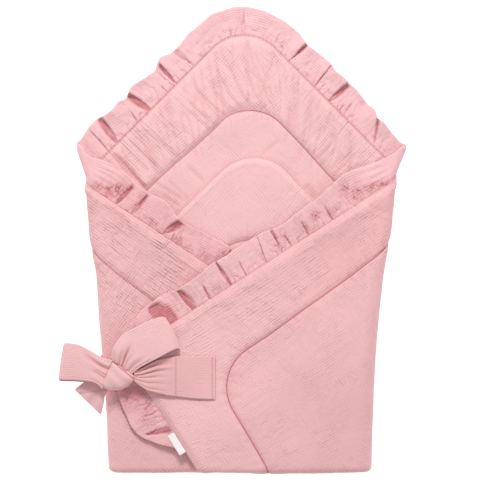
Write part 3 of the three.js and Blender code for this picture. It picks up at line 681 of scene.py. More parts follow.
def puckersAt(u, v, inset, around, side, onTip):
    # gathers that run in from the rim, from 0 in a valley to 1, and how strong they are there
    toSeam = (quilt["quiltingInset"] - inset) / relief["toSeam"]
    nearRim = smooth(inset / relief["fromRim"]) * smooth(toSeam)
    onHood = relief["hoodPuckers"] * np.where(v > u, 1, relief["rightHoodShare"])
    onFlaps = np.where(v > u, relief["leftPuckers"], relief["rightPuckers"])
    across, along = around / relief["puckerWidth"], inset / relief["puckerLength"]
    puckers = creases(across, along, 4) * 0.7 + creases(across * 1.9, along, 5) * 0.3
    return puckers, nearRim * np.where(side > 0, onHood, blend(onFlaps, relief["tipPuckers"], onTip))


def unevenness(u, v):  # patches of soft crinkles along both threads, over broad swells
    fine, long, wide = relief["crinkleWidth"], relief["crinkleLength"], relief["patchWidth"]
    patchU, patchV = [smooth(0.5 + softNoise(u / wide, v / wide, seed)) for seed in (7, 8)]
    crinkled = softNoise(u / fine, v / long, 9) * patchU + softNoise(u / long, v / fine, 10) * patchV
    swelling = softNoise(u / relief["swellWidth"], v / relief["swellWidth"], 11) * relief["swells"]
    return crinkled * relief["crinkles"] + swelling


def rolledHem(inset, around, onTip):
    uneven = 1 + relief["rollSway"] * softNoise(around / relief["rollLength"], around * 0, 15) * (1 - onTip)
    rollAt = blend(relief["rollAt"] * uneven, relief["tipRollAt"], onTip)
    rollWidth = blend(relief["rollWidth"] * uneven, relief["tipRollWidth"], onTip)
    return relief["roll"] * np.exp(-((inset - rollAt) / rollWidth) ** 2)


def handCreases(x, y, u, v, side, onTip):  # the placed creases of the face that each point lies on
    placeX, placeY, _ = folded(x, y, np.full_like(x, loft / 2))
    onFlap = (side < 0) * (onTip < 0.5)
    faces = {"hood": side > 0, "left": onFlap * (v > u), "right": onFlap * (v < u)}
    found = {key: creasesAt(rows, placeX, placeY) for key, rows in mainCreases.items()}
    return [sum(found[key][k] * faces[key] for key in faces) for k in (0, 1)]


def flapShades(u, v, inset, side, onTip):
    # the flaps lie in a little more shade; the right one's border is darker high up and paler by the bow
    pastSeam = (quilt["quiltingInset"] - inset) / 6
    band = np.interp(u, relief["bandFrom"], relief["bandShade"]) * (v < u) * smooth(pastSeam)
    tone = np.where(v > u, relief["flapShade"][1], relief["flapShade"][0])
    return (tone + band * smooth(inset / 20)) * (side < 0) * (1 - onTip)


def quiltShape(a, b, side):
    u, v, outU, outV, inset, around = openSquare(a, b)
    sewnU, sewnV = drifted(u, v, inset)
    x, y = fromSquare(sewnU, sewnV)
    onTip = tipShare(u, v)
    fromSeam = np.abs(inset - quilt["quiltingInset"])
    half = 0.5 * tableAt(relief["hem"], inset * (1 + relief["tipHem"] * onTip))
    fromFoot = np.abs(footLineY(x) - y - foot["taken"] / 2)
    pinch = quilt["pinch"] * np.exp(-fromSeam / quilt["pinchWidth"])
    half *= 1 - pinch * smooth(fromFoot / relief["footEase"])
    puff = quilt["puff"] * np.exp(-((fromSeam - quilt["puffWidth"]) / quilt["puffWidth"]) ** 2)
    puckers, strength = puckersAt(u, v, inset, around, side, onTip)
    nearSeam = smooth(1 - fromSeam / relief["stitchReach"]) * smooth(fromSeam / relief["pastStitch"])
    stitched = creases(around / relief["stitchSpacing"], inset / relief["puckerLength"], 6)
    puckered = puckers * strength + relief["stitchPuckers"] * nearSeam * stitched
    drop, paintedShadeTone = handCreases(x, y, u, v, side, onTip)
    raised = puff + puckered + unevenness(u, v) + rolledHem(inset, around, onTip) * (side < 0) - drop
    upper, lower = showsAt(x, y)
    outer = np.sign(side) * (np.abs(side) > 0.99) * np.where(side > 0, upper, lower)
    z = loft / 2 + side * half + outer * raised * smooth(inset / relief["edgeEase"])
    bulge = half * np.sqrt(np.maximum(0, 1 - side * side)) * (inset < 1e-6)
    # painted shade: in the quilting channel, between the stitched puckers, in the puckers' valleys and over
    # the flaps
    depth = relief["channelShade"] * np.exp(-fromSeam / relief["channelWidth"])
    depth = depth + relief["seamShade"] * nearSeam * (1 - stitched)
    depth = depth + relief["puckerShade"] * strength * (1 - puckers) / relief["hoodPuckers"]
    depth = depth + flapShades(u, v, inset, side, onTip)
    # painted shade of the placed creases
    depth = np.maximum(depth, paintedShadeTone + 0.5 * np.minimum(depth, paintedShadeTone))
    return folded(*fromSquare(sewnU + outU * bulge, sewnV + outV * bulge), z), (u, v), depth


quiltPiece = finishPiece(makeQuiltMesh(), "quilt", quiltShape, quiltMuslin, ["quilted_wrap"])


# The ruffle: a doubled strip gathered into the seam, measured along the seam from the tip of the hood
# the slit, crumple, flap and low shades are painted shade
ruffle = {
    "thickness": 2, "seamGap": 1.1, "joinGap": 1, "floor": 1.4, "onFlap": 6.4, "foldLength": 56,
    "curve": 1.1, "length": 864, "along": 1080, "across": 20, "width": 38, "fullness": 1.55,
    "sway": 2.6, "swayLength": 17, "smallSway": 0.7, "smallLength": 8, "seamPleat": 1.9, "pleatLength": 7.5,
    "slitDepth": 0.8, "slitWidth": 1.25, "slitEase": 0.4, "slitStart": 0.1, "slitEnd": 0.12, "slitShade": 3.4,
    "lipLean": 1.5, "lipReach": 8, "lipRise": 0.26, "sink": 0.32, "sinkReach": 7,
    "crumpleLength": 3.4, "crumpleShade": (0.55, 0.8), "dragLines": 1.5, "dragReach": 42, "dragCount": 28,
    "flapShade": (0.08, 0.2), "lowShade": 0.08, "lowFrom": 620, "toneReach": 60, "edgeSway": 0.6,
    "pressed": {"from": 500, "to": 560, "width": 30, "height": 4.4},
}
# place along the seam and the strip's width there
rightWidths = [
    (0, 38.3), (15, 35.8), (35, 34.8), (55, 36), (75, 33.3), (90, 35.3), (110, 37.8), (125, 35.6),
    (145, 36.3), (165, 36.8), (185, 34.3), (205, 33.3), (211, 30), (220, 31.3), (245, 29.3), (257, 29),
    (268, 32.5), (281, 31), (298, 31.6), (320, 35.7), (359, 43.2), (381, 40), (405, 35.3), (433, 34.7),
    (473, 32.3), (488, 36.5), (514, 37.6), (544, 37.1), (579, 37.6), (602, 34.3), (627, 34.7), (649, 39.1),
    (680, 37.7), (699, 34.1), (710, 34.9), (754, 35.4), (772, 38.7), (812, 40), (835, 25.4), (852, 9.1),
    (864, 3),
]
leftWidths = [
    (0, 38.3), (15, 37.3), (30, 36.8), (45, 34.6), (55, 36), (75, 33.3), (95, 36), (100, 38.8), (115, 37),
    (120, 34), (130, 33.6), (145, 36.3), (165, 39.3), (171, 35.6), (180, 35), (186, 37.8), (205, 36.8),
    (215, 38.3), (221, 40.8), (240, 41.6), (250, 39.6), (262, 38), (275, 40.5), (290, 34), (312, 39.5),
    (334, 42.7), (366, 38.1), (387, 37.6), (416, 38.6), (426, 35.5), (439, 29.9), (459, 29.8), (481, 33),
    (501, 34.8), (515, 37.7), (540, 37), (864, 37),
]
# how high the strip stands between its slits: place and height
rightRise = [
    (0, 5.5), (60, 7.2), (110, 8), (200, 7.4), (245, 4), (262, 1), (288, 0.6), (315, 2.6), (345, 5.2),
    (400, 6.6), (470, 7.2), (560, 7), (610, 6.4), (650, 4.4), (700, 1.6), (745, 2), (790, 4.8), (830, 3.2),
    (868, 1.2),
]
leftRise = [
    (0, 5.8), (60, 7.6), (130, 8.2), (210, 7.2), (245, 4.6), (266, 1), (295, 0.6), (322, 2.8), (350, 5.2),
    (390, 6.4), (440, 7), (480, 4.6), (520, 1.6), (868, 1),
]
# each row is a slit: place at the seam, shift by the outer edge, depth, half width, where it is widest,
# first and last part of the width that it takes, and the side that hangs over it
rightSlits = [
    (3, -5, 1.4, 1.1, 0.5, 0, 0.9, 1), (29, -4, 1.6, 1.4, 0.1, 0, 0.16, 1),
    (37, -5, 1.6, 1.4, 0.1, 0, 0.14, 1), (43, -7, 1.4, 1.2, 0.3, 0, 0.5, 1),
    (53, -8, 2, 2.2, 0.2, 0.1, 0.3, 1), (71, 1, 6, 3.6, 0.8, 0, 1.1, -1),
    (90, -2, 1.4, 1.2, 0.1, 0, 0.15, -1), (103, -3, 2, 1.5, 0.1, 0, 0.14, -1),
    (120, -4, 4, 1.9, 0.5, 0, 1.1, -1), (128, 1, 2.2, 1.2, 0.2, 0, 0.4, -1),
    (147, 3, 6.6, 5, 0.62, 0, 0.96, -1), (168, -4, 2.8, 1.6, 0.2, 0, 0.3, 1),
    (176, -4, 1.6, 1.6, 0.3, 0, 0.5, 1), (184, 8, 1.2, 1.4, 0.2, 0, 0.35, 1),
    (199, 0, 1.4, 1.2, 0.1, 0, 0.14, 1), (234, -22, 3.6, 3.4, 0.75, 0.1, 1.1, -1),
    (330, -9, 2, 1.6, 0.2, 0, 0.3, 1), (337, -8, 2.2, 1.7, 0.2, 0, 0.3, 1),
    (355, -3, 2.2, 1.3, 0.2, 0, 0.45, -1), (372, -6, 1.8, 3.4, 0.4, 0.05, 0.7, 1),
    (402, -1, 4.4, 1.9, 0.15, 0, 0.6, -1), (440, -1, 4.2, 1.9, 0.25, 0, 0.64, -1),
    (468, 0, 3.8, 1.8, 0.3, 0, 0.56, -1), (484, -3, 4, 3.2, 0.95, 0, 1.1, 1),
    (510, -9, 2.8, 1.2, 0.4, 0, 1, 1), (541, -3, 3.2, 1.5, 0.2, 0, 0.6, -1), (564, 1, 6, 3.2, 0.5, 0, 1, -1),
    (580, -2, 1.6, 1.3, 0.1, 0, 0.2, -1), (599, -3, 4.2, 2.6, 0.15, 0, 0.6, -1),
    (626, 5, 6, 6.2, 0.45, 0, 0.98, 1), (664, 9, 6, 14, 0.4, 0, 0.92, 1),
    (705, 0, 1.6, 2.4, 0.6, 0.3, 0.9, 1), (766, -8, 2.4, 12, 0.4, 0, 0.85, -1),
    (763, -6, 2.4, 3, 0.4, 0, 0.7, 1), (803, -16, 1.6, 1.4, 0.4, 0.2, 0.6, 1),
    (826, -12, 4.6, 5.5, 0.25, 0, 0.85, -1),
]
leftSlits = [
    (4, -6, 1.6, 1.2, 0.5, 0, 0.9, 1), (18, -8, 2.4, 2, 0.2, 0, 0.3, 1), (31, 3, 1.8, 1.4, 0.1, 0, 0.2, 1),
    (49, 0, 2.2, 1.7, 0.1, 0.04, 0.16, 1), (65, 0, 2.4, 1.8, 0.12, 0.05, 0.18, 1),
    (82, 3, 2.6, 1.6, 0.25, 0, 0.5, 1), (83, 3, 2, 5, 0.9, 0.4, 1.1, 1),
    (114, -2, 5.8, 3.9, 0.66, 0, 0.94, -1), (122, 0, 1.8, 1.4, 0.8, 0.35, 0.9, -1),
    (132, 0, 2.2, 1.4, 0.2, 0, 0.35, -1), (164, 7, 7.2, 5.8, 0.55, 0, 1.1, -1),
    (189, -8, 2.4, 1.4, 0.2, 0, 0.46, -1), (227, -7, 6.8, 5.6, 0.6, 0, 1, -1),
    (244, -2, 3.4, 1.8, 0.3, 0, 0.95, -1), (330, 0, 2.4, 3.2, 0.1, 0, 0.3, 1),
    (343, -6, 2, 2.6, 0.1, 0, 0.3, 1), (357, 8, 5.6, 4, 0.5, 0, 0.86, -1),
    (383, 5, 3.4, 3.8, 0.5, 0, 0.92, -1), (414, -8, 2.2, 4.4, 0.1, 0, 0.3, 1),
    (432, 13, 5.6, 6.8, 0.75, 0, 1, -1), (449, -7, 2.6, 1.5, 0.2, 0, 0.4, -1),
    (466, -22, 3.4, 1.7, 0.15, 0, 0.4, 1), (481, -6, 2, 3, 0.05, 0, 0.12, 1),
    (503, -12, 2, 2, 0.1, 0, 0.2, 1), (519, 4, 3.6, 2.4, 0.4, 0, 1, -1),
]
# small crumpled places on the flaps' strips: place along the seam and share of the width, how far each
# reaches along and across, height, and how much it darkens the cloth
rightCrumples = [
    (314, 0.06, 8, 0.16, 2.4, 1), (322, 0.14, 9, 0.16, 2.2, 0.9), (336, 0.2, 10, 0.22, 2, 0.85),
    (356, 0.3, 10, 0.26, 2, 0.75), (368, 0.62, 9, 0.25, 1.7, 0.65), (385, 0.25, 11, 0.3, 0.8, 0.2),
    (400, 0.24, 7, 0.2, 1.6, 0.6), (420, 0.5, 8, 0.2, 1.8, 0.75), (439, 0.3, 5, 0.3, 1.4, 0.5),
    (470, 0.5, 6, 0.3, 1.4, 0.5), (483, 0.3, 6, 0.25, 1.4, 0.5), (587, 0.12, 10, 0.2, 1.3, 0.4),
    (763, 0.8, 9, 0.2, 1.4, 0.7), (772, 0.5, 9, 0.25, 1.5, 0.6), (786, 0.25, 9, 0.25, 1.5, 0.6),
    (801, 0.45, 9, 0.3, 1, 0.4),
]
leftCrumples = [
    (324, 0.12, 9, 0.16, 2.4, 1), (341, 0.2, 9, 0.28, 2.2, 0.9), (352, 0.45, 9, 0.28, 2, 0.8),
    (361, 0.62, 7, 0.3, 1.6, 0.7), (385, 0.35, 6, 0.22, 1.6, 0.6), (384, 0.75, 5, 0.15, 1.4, 0.5),
    (415, 0.12, 9, 0.14, 1.2, 0.4), (456, 0.1, 7, 0.2, 1.8, 0.7), (499, 0.2, 10, 0.22, 1.6, 0.6),
    (518, 0.5, 7, 0.3, 1.6, 0.6),
]


def crumplesAt(rows, at, share, seed):  # how far the crumpled cloth is sunk there, and its painted shade
    streaks = 1 - creases(at / ruffle["crumpleLength"] + share * 1.5, share * 7, seed)
    least, most = ruffle["crumpleShade"]
    sunk, tone = np.zeros_like(at), np.zeros_like(at)
    for place, middle, along, across, height, dark in rows:
        bell = np.exp(-((at - place) / along) ** 2 - ((share - middle) / across) ** 2)
        sunk = np.maximum(sunk, height * bell * streaks)
        tone = np.maximum(tone, dark * bell * (least + most * streaks))
    return sunk, tone


def seamAt(at, hand):  # place on the quilt's outline, and the direction straight out from it
    half, corner = quilt["side"] / 2, quilt["cornerRadius"]
    arc, straight = corner * math.pi / 4, quilt["side"] - 2 * corner
    first = np.clip(at, 0, arc) / corner
    run = np.clip(at - arc, 0, straight)
    second = np.clip(at - arc - straight, 0, 2 * arc) / corner
    third = np.maximum(at - 3 * arc - straight, 0)
    turn = -3 * math.pi / 4 + first + second
    centreU, centreV = -half + corner + run, -half + corner + third
    u, v = centreU + corner * np.cos(turn), centreV + corner * np.sin(turn)
    x, y = fromSquare(u, v)
    outX, outY = (np.cos(turn) - np.sin(turn)) / math.sqrt(2), -(np.cos(turn) + np.sin(turn)) / math.sqrt(2)
    return hand * x, y, hand * outX, outY


def slitsAt(slits, at, share):  # how deep the strip dips, how far it leans along the seam, and its rise
    dip, lean, heave = np.zeros_like(at), np.zeros_like(at), np.zeros_like(at)
    for place, shift, depth, half, widest, first, last, lip in slits:
        gap = at - place - shift * share
        wide = half * ruffle["slitWidth"] * np.maximum(0.3, 1 - ((share - widest) / 0.8) ** 2)
        back = gap * lip
        started = smooth((share - first) / ruffle["slitStart"] + ruffle["slitEase"])
        taken = started * smooth((last - share) / ruffle["slitEnd"] + ruffle["slitEase"])
        inside = taken * smooth((back / wide + 1.6) / 1.5) * (1 - smooth((back / wide - 0.35) / 0.35))
        dip = np.maximum(dip, depth * ruffle["slitDepth"] * inside)
        strong = smooth(depth / 6 - 0.2)
        pastLip = np.exp(-np.maximum(back, 0) / ruffle["lipReach"])
        hang = np.where(back < 0, 1 - smooth(-back / wide), pastLip)
        lean = lean - lip * ruffle["lipLean"] * strong * hang * taken
        over = smooth(back / wide + 0.5) * pastLip
        under = (back < 0) * np.exp(np.minimum(back, 0) / ruffle["sinkReach"])
        heave = heave + taken * strong * depth * (ruffle["lipRise"] * over - ruffle["sink"] * under)
    return dip, lean, heave


def pleatsAt(at, share, seed):
    return creases(at / ruffle["pleatLength"] + share * 1.1, share * 2.5 + 9, seed + 3)


def ruffleLift(strip, at, share, foldAt, heave):
    # how high the strip stands before its slits are sunk in, and how gathered it is
    seed = strip["seed"]
    rise = curveThrough(strip["rises"], 1, at)
    gathered = smooth(rise / 5)
    broad = ruffle["sway"] * softNoise(at / ruffle["swayLength"], share * 1.2, seed)
    sway = broad + ruffle["smallSway"] * softNoise(at / ruffle["smallLength"], share * 3, seed + 1)
    pleats = pleatsAt(at, share, seed) - 0.7
    small = ruffle["seamPleat"] * pleats * smooth(share * 10) * np.exp(-share * 2.2) * gathered
    nearFold = np.exp(-((at - foldAt) / ruffle["dragReach"]) ** 2) * smooth((at - foldAt - 4) / 24)
    lines = share * ruffle["dragCount"] + 3 * softNoise(at / 40, share * 2, seed + 4)
    drag = ruffle["dragLines"] * np.cos(lines) * nearFold
    fine = 0.3 * softNoise(at / 3.4, share * 4, seed + 5) + 0.25 * softNoise(at / 26, share * 13, seed + 6)
    lift = (rise + sway * gathered + heave) * share ** ruffle["curve"] + small
    return lift + (drag + fine) * smooth(share * 8), gathered


def ruffleShape(strip):
    hand, seed, pressing = strip["hand"], strip["seed"], ruffle["pressed"]
    foldAt = strip["fold"]["x"] * math.sqrt(2) - quilt["cornerRadius"] * (1 - math.pi / 4)

    def middle(a, b):
        at = blend(ruffle["joinGap"] / 2, ruffle["length"], (a + 1) / 2)
        share = np.clip((b + 1) / 2, 0, 1)
        seamX, seamY, outX, outY = seamAt(at, hand)
        dip, lean, heave = slitsAt(strip["slits"], at, share)
        lift, gathered = ruffleLift(strip, at, share, foldAt, heave)
        onFlap = smooth((at - foldAt) / ruffle["foldLength"] + 0.5)
        pressed = smooth((at - pressing["from"]) / (pressing["to"] - pressing["from"]))
        pressed = pressed * strip["pressedFlat"]
        lying = blend(blend(ruffle["floor"], ruffle["onFlap"], onFlap), pressing["height"], pressed)
        sunk = dip * np.minimum(1, share * 4 + 0.3) + crumplesAt(strip["crumples"], at, share, seed + 8)[0]
        lift = np.maximum(lift - sunk, -0.2) * (1 - pressed)
        z = blend(loft / 2, lying, share ** ruffle["curve"]) + blend(1, -1, onFlap) * lift
        width = blend(curveThrough(strip["widths"], 1, at), pressing["width"], pressed)
        width = width + softNoise(at / 9, at * 0, seed + 2) * ruffle["edgeSway"] * gathered
        reach = ruffle["seamGap"] + width * share
        aside = hand * lean * (1 - pressed)
        return seamX + outX * reach + outY * aside, seamY + outY * reach - outX * aside, z

    def shape(a, b, side):
        opened = thicken(middle, a, b, side * hand, ruffle["thickness"])
        at = blend(ruffle["joinGap"] / 2, ruffle["length"], (a + 1) / 2)
        share = (b + 1) / 2
        # painted shade: along the root and in its small pleats, in slits and crumples, on the flaps and low
        # by the bow
        rootShade = 0.15 * np.exp(-share * 16) + 0.55 * (1 - pleatsAt(at, share, seed)) * np.exp(-share * 6)
        uneven = 0.85 + 0.3 * softNoise(at / 4, share * 5, seed + 7)
        dip, _, _ = slitsAt(strip["slits"], at, share)
        depth = np.maximum(smooth(dip / ruffle["slitShade"]) * uneven, rootShade)
        depth = np.maximum(depth, crumplesAt(strip["crumples"], at, share, seed + 8)[1])
        reach = ruffle["toneReach"]
        low = ruffle["lowShade"] * smooth((at - ruffle["lowFrom"]) / reach) * (1 - strip["pressedFlat"])
        depth = depth + ruffle["flapShade"][hand < 0] * smooth((at - foldAt) / reach) + low
        across = (marksLook["root"] + share * ruffle["width"]) * hand
        return folded(*opened), (at * ruffle["fullness"], across), depth

    return shape


for strip in (
    {"side": "right", "hand": 1, "rises": rightRise, "widths": rightWidths, "slits": rightSlits,
     "crumples": rightCrumples, "fold": rightFold, "pressedFlat": 0, "seed": 31},
    {"side": "left", "hand": -1, "rises": leftRise, "widths": leftWidths, "slits": leftSlits,
     "crumples": leftCrumples, "fold": leftFold, "pressedFlat": 1, "seed": 51},
):
    slab, name = makeSlab(ruffle["along"], ruffle["across"]), "ruffle_strip_" + strip["side"]
    shape, node = ruffleShape(strip), "ruffle_" + strip["side"]
    piece = finishPiece(slab, name, shape, ruffleMuslin, [node])


# The bow: ribbons of the same muslin, each read along a table of its own stations
bow = {"thickness": 2, "tieShade": 0.15, "along": 110, "across": 56, "underShade": 0.35}
# share of the way from the knot to the far end, x, y, half width, turn in degrees, how far the middle of the
# row lies beyond its ends, middle height, and how far its layers bulge
upperLoop = [
    (0, -164, 140.9, 16.2, -36, 0, 51, 3), (0.111, -158.6, 150.1, 20.6, -31, 0, 51, 5.7),
    (0.248, -151, 158, 24.2, -31, 0, 51, 7.4), (0.421, -140.4, 167, 26.4, -37, 0, 50.5, 8.4),
    (0.641, -124.9, 175.5, 25.4, -45, 0.8, 49.5, 9.6), (0.857, -109.4, 183.2, 24.1, -56, 1.6, 47.5, 10.6),
    (1, -97.6, 187, 22.8, -65, 2.4, 46, 10.8),
]
leftLoop = [
    (0, -183.2, 130.2, 19.6, 70, 2.2, 51.4, 3), (0.146, -193, 135, 17, 75, 1.2, 51, 4.8),
    (0.337, -203.9, 140.1, 18.6, 81, 0.6, 49.6, 6.9), (0.552, -216.7, 144.5, 21.7, 84, 0.4, 46.8, 9),
    (0.759, -229.5, 147, 23.6, 83.5, 0.4, 43.4, 10.2), (0.918, -239.5, 147.4, 24, 82.5, 0.6, 40.4, 10.5),
    (1, -245.4, 147.6, 24, 82, 0.8, 38.6, 10.6),
]
# folds that run out from the knot: place across the ribbon at the knot and at their end, the share of the
# length that they take, height, and width across
upperFolds = [
    (0.02, -0.42, 0.42, -4.2, 0.085), (-0.55, -0.8, 0.55, 2.6, 0.32), (0.42, 0.3, 0.5, 1.4, 0.2),
    (0.66, 0.62, 0.4, -0.9, 0.09), (0.24, 0.02, 0.35, -1, 0.07), (0.9, 0.93, 1, -0.5, 0.04),
    (-0.25, -0.6, 0.3, -1.3, 0.07),
]
leftFolds = [
    (0.35, 0.62, 0.62, -2.2, 0.16), (0.62, 0.78, 0.5, 1.2, 0.14), (0.05, 0.15, 0.45, 1.5, 0.24),
    (-0.32, -0.2, 0.4, -1.1, 0.1), (-0.7, -0.62, 0.5, 0.8, 0.16), (0.18, 0.36, 0.3, -0.8, 0.06),
    (-0.88, -0.93, 1, -0.5, 0.04), (-0.06, -0.02, 0.3, -0.7, 0.06),
]


def foldsAt(folds, share, across):  # height of the folds there, and the painted shade in their valleys
    height, depth = np.zeros_like(share), np.zeros_like(share)
    for atKnot, atEnd, reach, rise, width in folds:
        gone = np.clip(share / reach, 0, 1)
        bell = np.exp(-((across - blend(atKnot, atEnd, gone)) / (width * (0.7 + 0.6 * gone))) ** 2)
        bell = bell * (1 - smooth(gone * 1.25 - 0.25))
        height = height + rise * bell
        depth = np.maximum(depth, np.clip(-rise / 3.6, 0, 1) * bell)
    return height, depth


def ribbonAt(table, share, across):
    x, y, half, turn, bend, middle, bulge = [curveThrough(table, k, share) for k in range(1, 8)]
    angle, ahead = np.radians(turn), bend * (1 - across * across)
    spot = (x + np.cos(angle) * half * across - np.sin(angle) * ahead,
            y + np.sin(angle) * half * across + np.cos(angle) * ahead)
    return *spot, middle, bulge


def loopShape(table, folds, shiftDown):
    def middle(a, b):
        share = 1 - a * a
        x, y, centre, bulge = ribbonAt(table, share, b)
        height, _ = foldsAt(folds, share, b)
        under = smooth(0.5 - a * 2)
        z = centre + bulge * a * (1 + 0.12 * (1 - b * b)) + height * np.sign(a) * smooth(np.abs(a) * 3)
        return x + shiftDown[0] * under, y + shiftDown[1] * under, z

    def shape(a, b, side):
        places = thicken(middle, a, b, side, bow["thickness"])
        _, depth = foldsAt(folds, 1 - a * a, b)
        # painted shade in the folds' valleys, and over the whole lower layer
        return tuple(places), (a * 95, b * 25), np.where(a > 0, depth, bow["underShade"])

    return shape


for name, node, table, folds, shiftDown in (
    ("bow_ribbon_upper", "bow_loop_upper", upperLoop, upperFolds, (2, -4)),
    ("bow_ribbon_left", "bow_loop_left", leftLoop, leftFolds, (0.4, -2.4)),
):
    slab = makeSlab(bow["along"], bow["across"])
    piece = finishPiece(slab, name, loopShape(table, folds, shiftDown), tieMuslin, [node])


# The free end: share of the way, x, y, half width, turn, middle height
tail = [
    (0, -194.4, 117.4, 14, -31, 40.4), (0.3, -201.2, 110.4, 15.9, -32, 41),
    (0.62, -205.2, 102.3, 19.5, -37, 41), (1, -209.9, 93.2, 23.4, -44, 39.6),
]
# its crease runs level from the left corner to the right edge
tailCrease = {"x": -189, "y": 108.7, "slope": 0.134, "drop": 0.03, "tone": 0.04, "line": 0.4, "width": 0.9}


def aboveTailCrease(x, y):
    return y - tailCrease["y"] - tailCrease["slope"] * (x - tailCrease["x"])


def tailShape(a, b, side):
    def middle(a, b):
        share = (a + 1) / 2
        x, y, half, turn, centre = [curveThrough(tail, k, share) for k in range(1, 6)]
        angle = np.radians(turn)
        px, py = x + np.cos(angle) * half * b, y + np.sin(angle) * half * b
        above = aboveTailCrease(px, py)
        ripple = 1.1 * np.cos(b * 7 + 1.4) * (0.3 + share)
        dropped = centre - tailCrease["drop"] * np.sqrt(above ** 2 + 0.6)
        return px, py, dropped + ripple * smooth(0.5 - above / 6)

    x, y, z = thicken(middle, a, b, side, bow["thickness"])
    # painted shade along the crease, and a little over the whole free end
    line = tailCrease["line"] * np.exp(-(aboveTailCrease(x, y) / tailCrease["width"]) ** 2)
    return (x, y, z), (a * 24, b * 24), tailCrease["tone"] + line


piece = finishPiece(makeSlab(44, 44), "bow_free_end", tailShape, tieMuslin, ["bow_tail"])


# The tie sewn on the right flap: share of the way to the knot, x, y, lift over the flap, half width
rightTie = [
    (0, -39.5, 125.2, 0, 28.2), (0.23, -64, 125.6, 0, 27.6), (0.453, -88, 126.8, 0, 26.4),
    (0.589, -102.6, 127.2, 2.2, 24.6), (0.677, -112, 127.2, 3.8, 22.6), (0.753, -120.2, 126.9, 5.2, 20.2),
    (0.841, -129.6, 125.9, 6.8, 16.4), (0.925, -138.6, 125.9, 8, 10.8), (1, -146.6, 127.4, 8.4, 6.2),
]
# its folds fan out from the knot to the stitched line
tieFolds = [
    (-0.55, -0.5, 0.6, 2.6, 0.11), (-0.78, -0.72, 0.55, -2.4, 0.12), (-0.36, -0.34, 0.5, -1.9, 0.08),
    (-0.15, -0.16, 0.5, 0.9, 0.1), (0.04, 0, 0.5, -1, 0.05), (0.25, 0.2, 0.5, 0.9, 0.12),
    (0.45, 0.4, 0.5, -0.9, 0.05), (0.68, 0.62, 0.5, 0.7, 0.12), (0.86, 0.8, 0.5, -0.9, 0.05),
]
tieStitches = {"rows": (-42.5, -91.5), "count": 15, "reach": 0.93, "length": 2, "radius": 0.34, "sink": 0.7}


def rightTieAt(a, b):
    share = (a + 1) / 2
    x, y, lift, half = [curveThrough(rightTie, k, share) for k in range(1, 5)]
    place = y - half * b
    height, _ = foldsAt(tieFolds, 1 - share, b)
    seams = sum(np.exp(-((x - row) / 1.1) ** 2) for row in tieStitches["rows"])
    return x, place, rightTop(x, place) + 2.6 + lift + height - tieStitches["sink"] * seams


def rightTieShape(a, b, side):
    places = thicken(rightTieAt, a, b, side, bow["thickness"])
    _, depth = foldsAt(tieFolds, (1 - a) / 2, b)
    seams = sum(np.exp(-((places[0] - row) / 0.9) ** 2) for row in tieStitches["rows"])
    # painted shade in the folds and the stitched grooves, and a little over the whole tie
    return tuple(places), (a * 56, b * 28), np.maximum(depth, 0.35 * seams) * 0.85 + bow["tieShade"]


slab = makeSlab(150, 56)
piece = finishPiece(slab, "tie_sewn_right", rightTieShape, tieMuslin, ["tie_right"])


def makeStitches():
    bm = bmesh.new()
    for row in tieStitches["rows"]:
        share = float(np.interp(-row, -column(rightTie, 1), column(rightTie, 0)))
        for k in range(tieStitches["count"]):
            across = tieStitches["reach"] * (2 * (k + 0.5) / tieStitches["count"] - 1)
            spot = [float(value[0]) for value in rightTieAt(np.array([share * 2 - 1]), np.array([across]))]
            grown = bmesh.ops.create_icosphere(bm, subdivisions=1, radius=tieStitches["radius"])
            long = tieStitches["length"] / 2 / tieStitches["radius"]
            bmesh.ops.scale(bm, verts=grown["verts"], vec=(1, long, 1))
            lifted = (spot[0], spot[1], spot[2] + bow["thickness"] / 2)
            bmesh.ops.translate(bm, verts=grown["verts"], vec=lifted)
    return bm


finishPiece(makeStitches(), "tie_stitches", lambda x, y, z: ((x, y, z), (x, y), x * 0), threadPink, [])

leftTie = {"y": 131, "from": 0.36, "to": 0.86, "lift": 6.6, "sewnHalf": 22, "knotHalf": 11}


def leftTieShape(a, b, side):
    def middle(a, b):
        share = (a + 1) / 2
        half = blend(leftTie["sewnHalf"], leftTie["knotHalf"], smooth(share))
        along = leftTie["y"] - leftFold["y"] + half * b
        _, start, taken = roundEdge(leftFold, along)
        around = blend(leftTie["from"], leftTie["to"], share)
        openX, openY = fromFold(leftFold, along, start + taken * around)
        return folded(openX, openY, -1.7 - leftTie["lift"] * smooth(2 * share - 1))

    return tuple(thicken(middle, a, b, side, bow["thickness"])), (a * 25, b * 20), a * 0


piece = finishPiece(makeSlab(40, 24), "tie_sewn_left", leftTieShape, tieMuslin, ["tie_left"])


# The knot: the last turn of the tie pulled tight, with a narrow folded strip along its upper edge
knot = {
    "x": -168.8, "y": 127.6, "z": 50.6, "height": 10.4, "fullness": 2.5, "creaseX": -6.1, "creaseY": 19.6,
    "creaseTurn": -40.3, "creaseWidth": 0.9, "creaseDepth": 1.7, "swell": 0.45,
}
knotOutline = [
    (-213, 16.7), (-180, 18.2), (-146, 24.6), (-112, 20.2), (-63, 18.1), (-30, 19.6), (-4, 22.3), (18, 17.4),
    (36, 14.2), (66, 13.8), (88, 16.6), (106, 20.3), (137, 16.7), (180, 18.2), (214, 24.6),
]


def knotMesh():
    bm = bmesh.new()
    bmesh.ops.create_uvsphere(bm, u_segments=128, v_segments=80, radius=1)
    return bm


